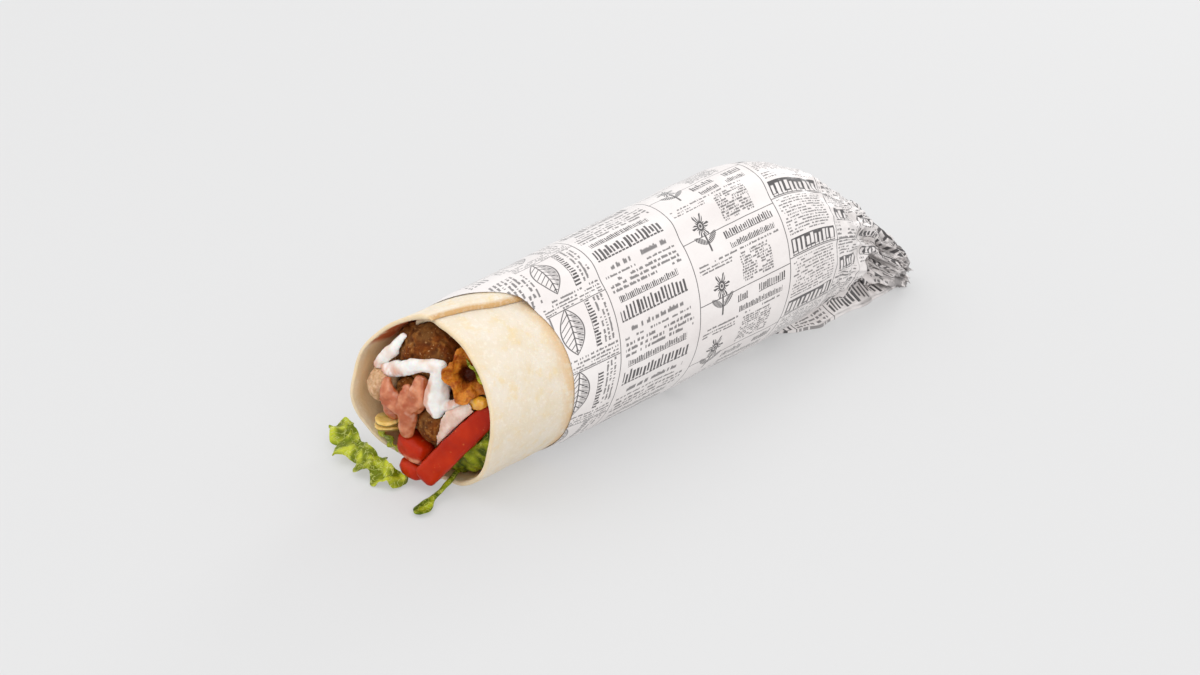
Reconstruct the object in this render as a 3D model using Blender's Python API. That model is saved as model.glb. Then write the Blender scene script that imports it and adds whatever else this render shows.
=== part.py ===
"""A flatbread wrap with falafel, salad and sauce, in a paper wrapper, lying on its side.

The wrap lies along X. Its open mouth faces -X, and the gathered end of the paper faces +X.
The shown side faces -Y and Z is up. Sizes are in millimetres until a mesh is made.
Angles go round the wrap's axis, in degrees: 0 is the far side (+Y), 90 the top, 180 the near
side and -90 the underside.
"""

import math

import bmesh
import bpy
from mathutils import Matrix, Vector, noise

# Driving dimensions
MM = 0.001
GAP = 0.35
WELD = 0.03
AXIS_HEIGHT = 31.4
TABLE = 0.8

BREAD_THICK = 1.9
BREAD_END = 76.0
BREAD_TURN = 384.0
BREAD_SWELL = 1.1
MOUTH_SHIFT = (0.5, 0.3)
MOUTH_FLARE = 1.6
BREAD_COLUMNS = 41
SEAM_AT_MOUTH = 83.0
SEAM_UNDER_PAPER = 104.0
SEAM_SETTLES = 46.0

PAPER_THICK = 0.8
PAPER_SIDES = 41
PAPER_CAVITY_END = 78.0
PAPER_SAG = 0.5
TAIL_LEAN = 4.0
FLAP_POINTS = 8
FLAP_FROM_ANGLE = -108.0
FLAP_TO_ANGLE = -120.0

CORE_FRONT = -80.5
FALAFEL_TOP = (-84.6, 8.6, 43.8)
FALAFEL_TOP_RADII = (12.2, 15.4, 13.2)
FALAFEL_TOP_TURN = 8.0
HOLLOW_ROOM = 2.4

# How far forward the rim of the bread and the front edge of the paper reach, as (angle, x)
RIM = (
    (-180.0, -95.9),
    (-148.0, -96.3),
    (-118.0, -93.6),
    (-92.0, -92.4),
    (-62.0, -95.6),
    (-36.0, -101.6),
    (-8.0, -105.0),
    (20.0, -101.4),
    (48.0, -96.0),
    (84.0, -91.2),
    (116.0, -91.8),
    (150.0, -93.5),
)
PAPER_EDGE = (
    (-180.0, -58.0),
    (-110.0, -61.0),
    (-50.0, -68.0),
    (0.0, -74.0),
    (55.0, -77.0),
    (80.0, -70.0),
    (105.0, -61.5),
    (140.0, -57.5),
)

# Sections of the paper from the end of the straight log to the gathered tail, as
# (x, centre y, centre z, half width, half height)
GATHER = (
    (40.0, 0.0, 31.4, 31.8, 31.8),
    (62.0, -0.5, 31.2, 31.0, 30.8),
    (76.0, -2.2, 29.6, 27.6, 27.0),
    (88.0, -4.4, 26.4, 23.0, 22.6),
    (98.0, -6.8, 22.6, 17.4, 17.4),
    (104.0, -8.2, 19.6, 12.2, 12.2),
    (107.0, -9.0, 16.4, 12.0, 12.0),
    (112.0, -10.5, 12.6, 14.0, 11.6),
    (118.0, -13.5, 8.4, 12.0, 7.9),
    (122.0, -15.5, 5.4, 8.0, 4.4),
)


# Small helpers for numbers that change smoothly


def clamp(value, low=0.0, high=1.0):
    return max(low, min(high, value))


def smooth(value):
    value = clamp(value)
    return value * value * (3.0 - 2.0 * value)


def between(low, high, share):
    return low + (high - low) * share


def ridge(turns):
    """A sharp fold: 1 at whole turns, -1 half-way between them."""
    return abs((turns % 1.0) * 2.0 - 1.0) * 2.0 - 1.0


def curve_between(before, start, end, after, at, column):
    """A column's value between two rows, on a smooth curve that also heeds the rows beside them."""
    reach = end[0] - start[0]
    share = (at - start[0]) / reach
    slope_in = (end[column] - before[column]) / (end[0] - before[0])
    slope_out = (after[column] - start[column]) / (after[0] - start[0])
    value = (2 * share**3 - 3 * share**2 + 1) * start[column]
    value += (share**3 - 2 * share**2 + share) * reach * slope_in
    value += (3 * share**2 - 2 * share**3) * end[column]
    return value + (share**3 - share**2) * reach * slope_out


def round_table(table, angle):
    """Reads a table of (angle, value) that goes once round, on a smooth curve."""
    angle = (angle + 180.0) % 360.0 - 180.0
    count = len(table)
    rows = [(table[i % count][0] + 360.0 * (i // count), table[i % count][1]) for i in range(-1, count + 2)]
    here = next(i for i in range(1, count + 1) if angle <= rows[i + 1][0])
    return curve_between(rows[here - 1], rows[here], rows[here + 1], rows[here + 2], angle, 1)


def section_at(x):
    """Centre and half sizes of the wrapped log's section at x, through the rows of GATHER."""
    rows = GATHER
    if x <= rows[0][0]:
        slimmer = 1.0 - clamp((x + 95.0) / (rows[0][0] + 95.0))
        radius = rows[0][3] - BREAD_SWELL * slimmer
        return (MOUTH_SHIFT[0] * slimmer, AXIS_HEIGHT + MOUTH_SHIFT[1] * slimmer, radius, radius)
    last = len(rows) - 1
    here = next((i for i in range(last) if x <= rows[i + 1][0]), last - 1)
    near = (rows[max(here - 1, 0)], rows[here], rows[here + 1], rows[min(here + 2, last)])
    return tuple(curve_between(*near, x, column) for column in range(1, 5))


# Making objects


def material(name, colour, roughness=0.6, metallic=0.0):
    made = bpy.data.materials.get(name) or bpy.data.materials.new(name)
    made.use_nodes = True
    shader = made.node_tree.nodes["Principled BSDF"]
    shader.inputs["Base Color"].default_value = (*colour, 1.0)
    shader.inputs["Roughness"].default_value = roughness
    shader.inputs["Metallic"].default_value = metallic
    made.diffuse_color = (*colour, 1.0)
    return made


def add_object(name, mesh, finish):
    mesh.materials.clear()
    mesh.materials.append(finish)
    mesh.shade_smooth()
    made = bpy.data.objects.new(name, mesh)
    bpy.context.scene.collection.objects.link(made)
    made.parent = WRAP
    return made


def mesh_from(name, points, faces):
    """A mesh from points in millimetres, with its faces turned outwards."""
    mesh = bpy.data.meshes.new(name)
    mesh.from_pydata([(x * MM, y * MM, z * MM) for x, y, z in points], [], faces)
    build = bmesh.new()
    build.from_mesh(mesh)
    bmesh.ops.recalc_face_normals(build, faces=build.faces)
    if build.calc_volume(signed=True) < 0.0:
        bmesh.ops.reverse_faces(build, faces=build.faces)
    build.to_mesh(mesh)
    build.free()
    return mesh


def grid_faces(rows, columns, first=0, closed=False):
    """Triangles of a grid of points; a closed grid joins its last column to its first."""
    faces = []
    for row in range(rows - 1):
        for column in range(columns if closed else columns - 1):
            following = (column + 1) % columns
            a = first + row * columns + column
            b = first + row * columns + following
            c = first + (row + 1) * columns + following
            d = first + (row + 1) * columns + column
            faces.append((a, b, c))
            faces.append((a, c, d))
    return faces


def strip_faces(one, other):
    """Triangles between two equal lists of point numbers."""
    faces = []
    for a, b, c, d in zip(one, one[1:], other[1:], other):
        faces.append((a, b, c))
        faces.append((a, c, d))
    return faces


def sheet_mesh(name, rows, columns, front, back):
    """A closed thin sheet. front and back give the point at a row and a column."""
    points = [front(row, column) for row in range(rows) for column in range(columns)]
    points += [back(row, column) for row in range(rows) for column in range(columns)]
    count = rows * columns
    faces = grid_faces(rows, columns)
    faces += [(c, b, a) for a, b, c in grid_faces(rows, columns, count)]
    edge = list(range(columns))
    edge += [row * columns + columns - 1 for row in range(1, rows)]
    edge += [(rows - 1) * columns + column for column in range(columns - 2, -1, -1)]
    edge += [row * columns for row in range(rows - 2, 0, -1)]
    edge.append(edge[0])
    faces += strip_faces(edge, [number + count for number in edge])
    return mesh_from(name, points, faces)


def loft_mesh(name, rings):
    """A closed body through rings of equal count, with a fan over each end."""
    sides = len(rings[0])
    points = [point for ring in rings for point in ring]
    faces = grid_faces(len(rings), sides, closed=True)
    for ring, offset in ((rings[0], 0), (rings[-1], (len(rings) - 1) * sides)):
        middle = len(points)
        points.append(tuple(sum(point[axis] for point in ring) / sides for axis in range(3)))
        faces += [(offset + side, offset + (side + 1) % sides, middle) for side in range(sides)]
    return mesh_from(name, points, faces)


def smooth_path(points, steps):
    """Points along a smooth curve through the given points, with steps between each pair."""
    points = [Vector(point) for point in points]
    path = []
    for i in range(len(points) - 1):
        before = points[max(i - 1, 0)]
        start = points[i]
        end = points[i + 1]
        after = points[min(i + 2, len(points) - 1)]
        for step in range(steps):
            t = step / steps
            path.append(
                0.5
                * (
                    2 * start
                    + (end - before) * t
                    + (2 * before - 5 * start + 4 * end - after) * t**2
                    + (3 * start - before - 3 * end + after) * t**3
                )
            )
    path.append(points[-1])
    return path


def swept_mesh(name, stops, steps=3, sides=10, up=(0, 0, 1), lump=0.0, square=1.0):
    """A round-ended bar through stops of (x, y, z, half width, half height); up is its height's way.

    Its section is an ellipse, or nearer a rectangle where square is under 1.
    """
    path = smooth_path([stop[:3] for stop in stops], steps)
    sizes = smooth_path([(stop[3], stop[4], 0.0) for stop in stops], steps)
    first = (path[0] - path[1]).normalized() * min(sizes[0].x, sizes[0].y)
    last = (path[-1] - path[-2]).normalized() * min(sizes[-1].x, sizes[-1].y)
    round_end = ((0.9, 0.4), (0.55, 0.8))
    centres = [path[0] + first * out for out, _ in round_end] + path
    centres += [path[-1] + last * out for out, _ in reversed(round_end)]
    widths = [sizes[0] * width for _, width in round_end] + sizes
    widths += [sizes[-1] * width for _, width in reversed(round_end)]
    rings = []
    for i, (centre, size) in enumerate(zip(centres, widths)):
        ahead = centres[min(i + 1, len(centres) - 1)] - centres[max(i - 1, 0)]
        ahead.normalize()
        side = ahead.cross(Vector(up)).normalized()
        over = side.cross(ahead).normalized()
        ring = []
        for turn in range(sides):
            angle = math.tau * turn / sides
            across = math.copysign(abs(math.cos(angle)) ** square, math.cos(angle))
            upwards = math.copysign(abs(math.sin(angle)) ** square, math.sin(angle))
            point = centre + side * size.x * across + over * size.y * upwards
            point += (point - centre) * lump * noise.noise(point * 0.35)
            ring.append(tuple(point))
        rings.append(ring)
    return loft_mesh(name, rings)


def ball_mesh(name, centre, radii, crag, scale, detail, turn=0.0, seed=0.0, blocky=2.0):
    """An uneven ball: crag is the height of its lumps in millimetres, scale their size.

    It is an ellipsoid, or nearer a box where blocky is over 2.
    """
    build = bmesh.new()
    bmesh.ops.create_icosphere(build, subdivisions=detail, radius=1.0)
    spin = Matrix.Rotation(math.radians(turn), 3, "X")
    for vertex in build.verts:
        way = vertex.co.normalized()
        way /= sum(abs(part) ** blocky for part in way) ** (1.0 / blocky)
        point = Vector((way.x * radii[0], way.y * radii[1], way.z * radii[2]))
        where = point / scale + Vector((seed, seed * 2.0, seed * 3.0))
        lumps = noise.fractal(where, 0.9, 2.1, 3)
        vertex.co = (spin @ (point + way * lumps * crag) + Vector(centre)) * MM
    mesh = bpy.data.meshes.new(name)
    build.to_mesh(mesh)
    build.free()
    return mesh


def grown_copy(source, by):
    """A copy of an object's mesh, moved out along its normals by a number of millimetres."""
    build = bmesh.new()
    build.from_mesh(source.data)
    build.normal_update()
    moves = [vertex.normal.copy() for vertex in build.verts]
    for vertex, move in zip(build.verts, moves):
        vertex.co += move * by * MM
    mesh = bpy.data.meshes.new(source.name + "_grown")
    build.to_mesh(mesh)
    build.free()
    made = bpy.data.objects.new(source.name + "_grown", mesh)
    bpy.context.scene.collection.objects.link(made)
    return made


def apply_boolean(target, other, operation, solver="MANIFOLD"):
    modifier = target.modifiers.new("shape", "BOOLEAN")
    modifier.operation = operation
    modifier.solver = solver
    modifier.object = other
    graph = bpy.context.evaluated_depsgraph_get()
    mesh = bpy.data.meshes.new_from_object(target.evaluated_get(graph))
    target.modifiers.remove(modifier)
    old = target.data
    target.data = mesh
    bpy.data.meshes.remove(old)
    spare = other.data
    bpy.data.objects.remove(other)
    bpy.data.meshes.remove(spare)


def mend(build):
    """Takes off fins, faces that hang on a body by one edge, and fills the small holes left."""
    for _ in range(3):
        fins = []
        for face in build.faces:
            counts = [len(edge.link_faces) for edge in face.edges]
            if min(counts) == 1 and max(counts) > 2:
                fins.append(face)
        if fins:
            bmesh.ops.delete(build, geom=fins, context="FACES")
    open_edges = [edge for edge in build.edges if len(edge.link_faces) == 1]
    if open_edges:
        bmesh.ops.holes_fill(build, edges=open_edges, sides=0)
        bmesh.ops.triangulate(build, faces=build.faces)
        bmesh.ops.recalc_face_normals(build, faces=build.faces)


def keep_largest(target):
    """Drops the scraps and slivers that a cut leaves, so that one clean body remains."""
    build = bmesh.new()
    build.from_mesh(target.data)
    bmesh.ops.remove_doubles(build, verts=build.verts, dist=WELD * MM)
    bmesh.ops.dissolve_degenerate(build, edges=build.edges, dist=WELD * MM)
    bmesh.ops.triangulate(build, faces=build.faces)
    mend(build)
    left = set(build.verts)
    bodies = []
    while left:
        body = {left.pop()}
        edge = list(body)
        while edge:
            vertex = edge.pop()
            for link in vertex.link_edges:
                other = link.other_vert(vertex)
                if other in left:
                    left.remove(other)
                    body.add(other)
                    edge.append(other)
        bodies.append(body)
    bodies.sort(key=len)
    for body in bodies[:-1]:
        bmesh.ops.delete(build, geom=list(body), context="VERTS")
    build.to_mesh(target.data)
    build.free()
    target.data.shade_smooth()


def boxes_meet(one, other, margin):
    """Whether the boxes of two objects come within a number of millimetres of each other."""
    for axis in range(3):
        first = [vertex.co[axis] for vertex in one.data.vertices]
        second = [vertex.co[axis] for vertex in other.data.vertices]
        if min(first) > max(second) + margin * MM or min(second) > max(first) + margin * MM:
            return False
    return True


def settle(pieces):
    """Presses each piece back from those before it in the list, leaving a small gap between them."""
    for number, piece in enumerate(pieces):
        for earlier in pieces[:number]:
            if boxes_meet(piece, earlier, GAP):
                apply_boolean(piece, grown_copy(earlier, GAP), "DIFFERENCE")
        if number:
            keep_largest(piece)


def join(target, others):
    for other in others:
        apply_boolean(target, other, "UNION")
    keep_largest(target)


# The flatbread: one sheet rolled a little more than once round, its free edge on top


def seam_angle(x):
    return between(SEAM_AT_MOUTH, SEAM_UNDER_PAPER, smooth((x + 95.0) / 36.0))


def bread_radius(x):
    """Half sizes of the bread's outside at x."""
    centre_y, centre_z, half_width, half_height = section_at(x)
    shell = PAPER_THICK + GAP
    return centre_y, centre_z, half_width - shell, half_height - shell


def seam_lift(turned):
    """How far the sheet stands out where it lies on its own start."""
    return (BREAD_THICK + GAP) * (1.0 - smooth(turned / SEAM_SETTLES))


def bread_floor(x):
    """The paper holds the bread up, and the bare end may sag to the table."""
    return TABLE + (PAPER_THICK + GAP) * smooth((x + 82.0) / 18.0)


def on_section(x, angle, outwards, floor):
    """The point at an angle on the section at x, moved outwards, not below the floor."""
    centre_y, centre_z, half_width, half_height = bread_radius(x)
    turn = math.radians(angle)
    y = centre_y + (half_width + outwards) * math.cos(turn)
    z = centre_z + (half_height + outwards) * math.sin(turn)
    return (x, y, max(z, floor))


def bread_point(row, column, inside):
    turned = BREAD_TURN * column / (BREAD_COLUMNS - 1)
    rim = round_table(RIM, seam_angle(-92.0) - turned)
    if turned > 350.0:
        rim += 5.0 * smooth((turned - 350.0) / 30.0)
    if row < len(BREAD_RIM_ROWS):
        x = rim + BREAD_RIM_ROWS[row]
    else:
        x = LOG_ROWS[row - len(BREAD_RIM_ROWS)]
    angle = seam_angle(x) - turned
    if turned < 360.0:
        out = seam_lift(turned)
    else:
        out = seam_lift(turned - 360.0) - BREAD_THICK - GAP
    wave = smooth((-70.0 - x) / 25.0)
    out += 0.5 * wave * noise.noise(Vector((x * 0.05, turned * 0.045, 3.0)))
    out += MOUTH_FLARE * smooth((-84.0 - x) / 20.0) * math.exp(-(((angle - 32.0) / 30.0) ** 2))
    thick = BREAD_THICK * (1.0 - 0.35 * smooth((-88.0 - x) / 12.0))
    floor = bread_floor(x)
    if inside:
        return on_section(x, angle, out - thick, floor + thick)
    return on_section(x, angle, out, floor)


# Rows of the bread: some behind its rim, and then those that the paper's inside shares
BREAD_RIM_ROWS = (0.0, 2.0, 9.0, 22.0)
LOG_ROWS = (-52.0, -8.0, 40.0, 62.0, BREAD_END)


def make_flatbread():
    mesh = sheet_mesh(
        "flatbread",
        len(BREAD_RIM_ROWS) + len(LOG_ROWS),
        BREAD_COLUMNS,
        lambda row, column: bread_point(row, column, False),
        lambda row, column: bread_point(row, column, True),
    )
    return add_object("flatbread", mesh, material("bread", (0.86, 0.74, 0.58), 0.75))


# The paper: a tube over the bread that is gathered behind it into a crumpled tail,
# with a loose fold lying on the surface along the near side


def paper_out(x, angle):
    """How far the paper's outside stands from the bread's nominal outside."""
    turned = (seam_angle(x) - angle + 40.0) % 360.0 - 40.0
    if turned < 0.0:
        over_seam = (BREAD_THICK + GAP) * smooth(1.0 + turned / 16.0)
    else:
        over_seam = seam_lift(turned)
    return over_seam * (1.0 - smooth((x - PAPER_CAVITY_END) / 16.0)) + GAP + PAPER_THICK


def pleats(x, angle):
    """Folds that run to the gathered end, as a share of the section's size."""
    strength = 0.24 * smooth((x - 74.0) / 32.0)
    twist = (x - 80.0) / 60.0
    large = ridge(angle / 360.0 * 7.0 + twist)
    small = ridge(angle / 360.0 * 13.0 - twist * 1.7 + 0.3)
    uneven = 0.6 + 0.8 * noise.noise(Vector((angle * 0.02, x * 0.04, 7.0)))
    return 1.0 + strength * uneven * (0.65 * large + 0.45 * small - 0.35)


def pressed(height):
    """The underside lies flat on the table over a strip, not along a line."""
    above = height - TABLE
    return TABLE + max(min(above, (above - PAPER_SAG) * 2.0), 0.0)


def paper_ring_point(x, angle):
    centre_y, centre_z, half_width, half_height = bread_radius(x)
    turn = math.radians(angle)
    out = paper_out(x, angle)
    fold = pleats(x, angle)
    y = centre_y + (half_width + out) * fold * math.cos(turn)
    z = centre_z + (half_height + out) * fold * math.sin(turn)
    lean = TAIL_LEAN * smooth((x - 96.0) / 10.0) * smooth((116.0 - x) / 14.0) * math.sin(turn)
    return (x + lean, y, pressed(z))


def paper_ring(x, ring_x=None):
    """One closed ring of the paper's outside: round the log, then out along the loose fold."""
    ring = []
    start = FLAP_TO_ANGLE
    span = 360.0 - (FLAP_FROM_ANGLE - FLAP_TO_ANGLE)
    for side in range(PAPER_SIDES):
        angle = start - span * side / (PAPER_SIDES - 1)
        here = ring_x(angle) if ring_x else x
        ring.append(paper_ring_point(here, angle))
    spread = smooth((x - 50.0) / 18.0)
    wander = 1.2 * noise.noise(Vector((x * 0.16, 0.5, 0.0)))
    tip_y = -14.0 - 7.5 * smooth((x - 55.0) / 22.0) + wander
    swell = 0.5 + 0.5 * noise.noise(Vector((x * 0.22, 4.0, 0.0)))
    for point in range(1, FLAP_POINTS - 1):
        share = point / (FLAP_POINTS - 1)
        angle = between(FLAP_FROM_ANGLE, FLAP_TO_ANGLE, share)
        here = ring_x(angle) if ring_x else x
        base = Vector(paper_ring_point(here, angle))
        reach = clamp(2.25 * (0.5 - abs(share - 0.5)) * 2.0 - 0.25)
        upper = smooth((share - 0.42) / 0.16)
        tip = Vector((here, tip_y, TABLE + upper * (1.1 + 0.9 * reach * swell)))
        ring.append(tuple(base.lerp(tip, reach * spread)))
    return ring


# Rows of the paper, closer together where the tail is crumpled
PAPER_LOG_ROWS = (0.0, 44.0, 58.0, 68.0, 77.0, 85.0, 91.0, 96.0)
PAPER_TAIL_ROWS = (100.0, 103.5, 107.0, 110.5, 114.0, 117.5, 121.0)


def make_paper():
    rings = [paper_ring(-60.0, lambda angle: round_table(PAPER_EDGE, angle))]
    rings += [paper_ring(x) for x in (*PAPER_LOG_ROWS, *PAPER_TAIL_ROWS)]
    sides = len(rings[0])
    middle = Vector((0.0, 0.0, 0.0))
    for point in rings[-1]:
        middle += Vector(point) / sides
    tucked = middle + Vector((-3.5, 0.0, 1.0))
    folded = [Vector(point).lerp(tucked, 0.45) for point in rings[-1]]
    rings.append([(point.x - 0.6, point.y, max(point.z, TABLE + 0.2)) for point in folded])
    outer_points = [point for ring in rings for point in ring]
    faces = grid_faces(len(rings), sides, closed=True)
    hub = len(outer_points)
    outer_points.append(tuple(tucked))
    last = (len(rings) - 1) * sides
    faces += [(last + side, last + (side + 1) % sides, hub) for side in range(sides)]

    lining = [lining_ring(rings[0], None)]
    lining += [lining_ring(None, x) for x in (*LOG_ROWS, PAPER_CAVITY_END)]
    start = len(outer_points)
    points = outer_points + [point for ring in lining for point in ring]
    faces += [(c, b, a) for a, b, c in grid_faces(len(lining), sides, start, closed=True)]
    front = list(range(sides)) + [0]
    faces += strip_faces(front, [start + side for side in front])
    back = start + (len(lining) - 1) * sides
    hub = len(points)
    points.append((PAPER_CAVITY_END, section_at(PAPER_CAVITY_END)[0], section_at(PAPER_CAVITY_END)[1]))
    faces += [(back + (side + 1) % sides, back + side, hub) for side in range(sides)]
    mesh = mesh_from("paper", points, faces)
    return add_object("paper_wrapper", mesh, material("paper", (0.82, 0.78, 0.77), 0.35))


def lining_ring(edge, x):
    """One ring of the paper's inside, which clears the bread by a gap."""
    ring = []
    start = FLAP_TO_ANGLE
    span = 360.0 - (FLAP_FROM_ANGLE - FLAP_TO_ANGLE)
    count = PAPER_SIDES + FLAP_POINTS - 2
    for side in range(count):
        if side < PAPER_SIDES:
            angle = start - span * side / (PAPER_SIDES - 1)
        else:
            angle = between(FLAP_FROM_ANGLE, FLAP_TO_ANGLE, (side - PAPER_SIDES + 1) / (FLAP_POINTS - 1))
        here = edge[side][0] if edge else x
        out = paper_out(here, angle) - PAPER_THICK
        ring.append(on_section(here, angle, out, TABLE + PAPER_THICK))
    return ring


# The filling behind what shows: one uneven mass through the whole wrap


def core_point(x, angle, share):
    centre_y, centre_z, half_width, half_height = bread_radius(x)
    turned = (seam_angle(x) - angle) % 360.0
    inner = BREAD_THICK + GAP
    under_start = smooth((turned - 318.0) / 20.0) + (1.0 - smooth((turned - 20.0) / 30.0))
    if x < BREAD_END:
        inner += (BREAD_THICK + GAP) * clamp(under_start)
    turn = math.radians(angle)
    y = centre_y + (half_width - inner - 0.3) * share * math.cos(turn)
    z = centre_z + (half_height - inner - 0.3) * share * math.sin(turn)
    floor = bread_floor(x) + BREAD_THICK + GAP
    return (x, y, max(z, floor + 0.3))


def make_core():
    sides = 28
    rings = []
    for share in (0.25, 0.55, 0.84):
        ring = []
        for side in range(sides):
            angle = 360.0 * side / sides
            turn = math.radians(angle)
            spot = Vector((math.cos(turn) * share * 3.2, math.sin(turn) * share * 3.2, 11.0))
            ring.append(core_point(CORE_FRONT + 1.5 * noise.noise(spot), angle, share))
        rings.append(ring)
    for x in (CORE_FRONT + 1.5, -52.0, -8.0, 40.0, 62.0, BREAD_END - 1.0):
        rings.append([core_point(x, 360.0 * side / sides, 1.0) for side in range(sides)])
    mesh = loft_mesh("filling", rings)
    made = add_object("filling_core", mesh, material("filling", (0.22, 0.10, 0.03), 0.6))
    radii = [radius + HOLLOW_ROOM for radius in FALAFEL_TOP_RADII]
    mesh = ball_mesh("hollow", FALAFEL_TOP, radii, 0.0, 1.0, 2, FALAFEL_TOP_TURN)
    apply_boolean(made, add_object("hollow", mesh, made.data.materials[0]), "DIFFERENCE")
    keep_largest(made)
    return made


# Falafel and the pieces round them at the mouth


def make_falafel():
    finish = material("falafel", (0.26, 0.10, 0.03), 0.8)
    pale = material("falafel_pale", (0.62, 0.38, 0.22), 0.8)
    made = {}
    mesh = ball_mesh("falafel", FALAFEL_TOP, FALAFEL_TOP_RADII, 1.4, 7.0, 3, FALAFEL_TOP_TURN, 1.0)
    made["falafel_top"] = add_object("falafel_top", mesh, finish)
    mesh = ball_mesh("falafel", (-98.0, 20.4, 33.6), (5.6, 5.6, 6.4), 0.8, 3.5, 3, 0.0, 4.0)
    made["falafel_left"] = add_object("falafel_left", mesh, pale)
    mesh = ball_mesh("falafel", (-92.5, 8.5, 34.0), (7.5, 9.0, 6.0), 0.8, 4.5, 2, 0.0, 7.0)
    made["falafel_middle"] = add_object("falafel_middle", mesh, finish)
    mesh = ball_mesh("falafel", (-92.0, -0.5, 24.5), (8.0, 7.0, 8.5), 0.8, 4.5, 3, 0.0, 9.0)
    made["falafel_low"] = add_object("falafel_low", mesh, finish)
    return made


# Tomato: a long strip across the mouth and two chunks under the falafel


def make_tomato():
    finish = material("tomato", (0.50, 0.03, 0.01), 0.25)
    strip = (
        (-100.6, -1.8, 7.6, 4.2, 2.1),
        (-97.6, -7.9, 16.2, 4.3, 2.3),
        (-94.0, -15.6, 26.8, 4.2, 2.3),
        (-90.4, -22.8, 36.8, 3.9, 2.1),
    )
    made = {}
    mesh = swept_mesh("tomato", strip, 3, 12, (-0.617, -0.607, 0.5), 0.0, 0.55)
    made["tomato_strip"] = add_object("tomato_strip", mesh, finish)
    mesh = ball_mesh("tomato", (-97.6, 5.8, 14.4), (4.8, 6.6, 4.7), 0.5, 6.0, 3, 12.0, 2.0, 3.2)
    made["tomato_chunk"] = add_object("tomato_chunk", mesh, finish)
    mesh = ball_mesh("tomato", (-98.2, 5.6, 6.6), (4.2, 5.8, 3.3), 0.4, 6.0, 2, 0.0, 5.0, 2.8)
    made["tomato_low"] = add_object("tomato_low", mesh, finish)
    return made


# Pickle: two thin slices that lean on the far wall


def slice_mesh(name, centre, radius, thick, facing, wave):
    """A thin round slice whose flat face looks along facing."""
    facing = Vector(facing).normalized()
    side = facing.cross(Vector((0, 0, 1))).normalized()
    over = side.cross(facing)
    rings = []
    for out, share in ((-0.5, 0.55), (-0.5, 0.93), (-0.2, 1.0), (0.2, 1.0), (0.5, 0.93), (0.5, 0.55)):
        ring = []
        for turn in range(18):
            angle = math.tau * turn / 18
            reach = radius * share * (1.0 + 0.05 * math.sin(3.0 * angle))
            point = Vector(centre) + side * reach * math.cos(angle) + over * reach * math.sin(angle)
            bend = wave * share * math.sin(2.0 * angle + 0.6)
            ring.append(tuple(point + facing * (out * thick + bend)))
        rings.append(ring)
    return loft_mesh(name, rings)


def make_pickles():
    finish = material("pickle", (0.36, 0.26, 0.04), 0.35)
    made = {}
    mesh = slice_mesh("pickle", (-99.6, 16.4, 21.9), 5.2, 1.7, (0.06, 0.14, 0.99), 0.35)
    made["pickle_upper"] = add_object("pickle_upper", mesh, finish)
    mesh = slice_mesh("pickle", (-99.0, 17.0, 19.5), 5.4, 1.6, (0.02, 0.05, 1.0), -0.3)
    made["pickle_lower"] = add_object("pickle_lower", mesh, finish)
    return made


# Leaves: thin wavy sheets, those inside following the bread's wall


def wall_leaf(name, angles, root, tip, ruffle, waves, thick=0.7, rows=9, columns=19):
    """A leaf that rises from the wall of the wrap: root and tip are its (x, distance from the axis)."""

    def point(row, column, back):
        share = row / (rows - 1)
        angle = between(angles[0], angles[1], column / (columns - 1))
        turn = math.radians(angle)
        swing = math.sin(waves * math.tau * column / (columns - 1) + 1.7 * share)
        ragged = math.sin(2.3 * waves * math.tau * column / (columns - 1))
        out = between(root[1], tip[1], share**1.6) + 1.3 * share * ragged
        x = between(root[0], tip[0], share**0.8) + ruffle * swing * (0.3 + 0.7 * share)
        x += 0.8 * noise.noise(Vector((column * 0.7, row * 0.6, len(name))))
        centre_z = section_at(x)[1]
        x += thick if back else 0.0
        return (x, out * math.cos(turn), centre_z + out * math.sin(turn))

    return sheet_mesh(name, rows, columns, lambda r, c: point(r, c, False), lambda r, c: point(r, c, True))


def ribbon_leaf(name, stops, across, ruffle, waves, thick=0.7, steps=7, columns=7):
    """A leaf along stops of (x, y, z, half width); across points from its inner to its outer edge."""
    path = smooth_path([stop[:3] for stop in stops], steps)
    widths = [v.x for v in smooth_path([(stop[3], 0, 0) for stop in stops], steps)]
    across = Vector(across).normalized()
    rows = len(path)

    def point(row, column, back):
        ahead = (path[min(row + 1, rows - 1)] - path[max(row - 1, 0)]).normalized()
        side = (across - ahead * across.dot(ahead)).normalized()
        up = ahead.cross(side)
        if up.z < 0:
            up.negate()
        share = 2.0 * column / (columns - 1) - 1.0
        edge = abs(share) ** 1.6
        turn = waves * math.tau * row / (rows - 1)
        wave = math.sin(turn + (0.0 if share < 0 else 1.9))
        lobe = 0.42 if share > 0 else 0.12
        reach = widths[row] * (1.0 + lobe * edge * math.sin(1.3 * turn + 1.0 * share))
        where = path[row] + side * reach * share + up * ruffle * edge * wave
        where += up * 0.5 * noise.noise(where * 0.25)
        where.z = max(where.z, TABLE)
        if not back:
            where += up * thick
            where.z = max(where.z, TABLE + 0.8 * thick)
        return tuple(where)

    return sheet_mesh(name, rows, columns, lambda r, c: point(r, c, False), lambda r, c: point(r, c, True))


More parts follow.
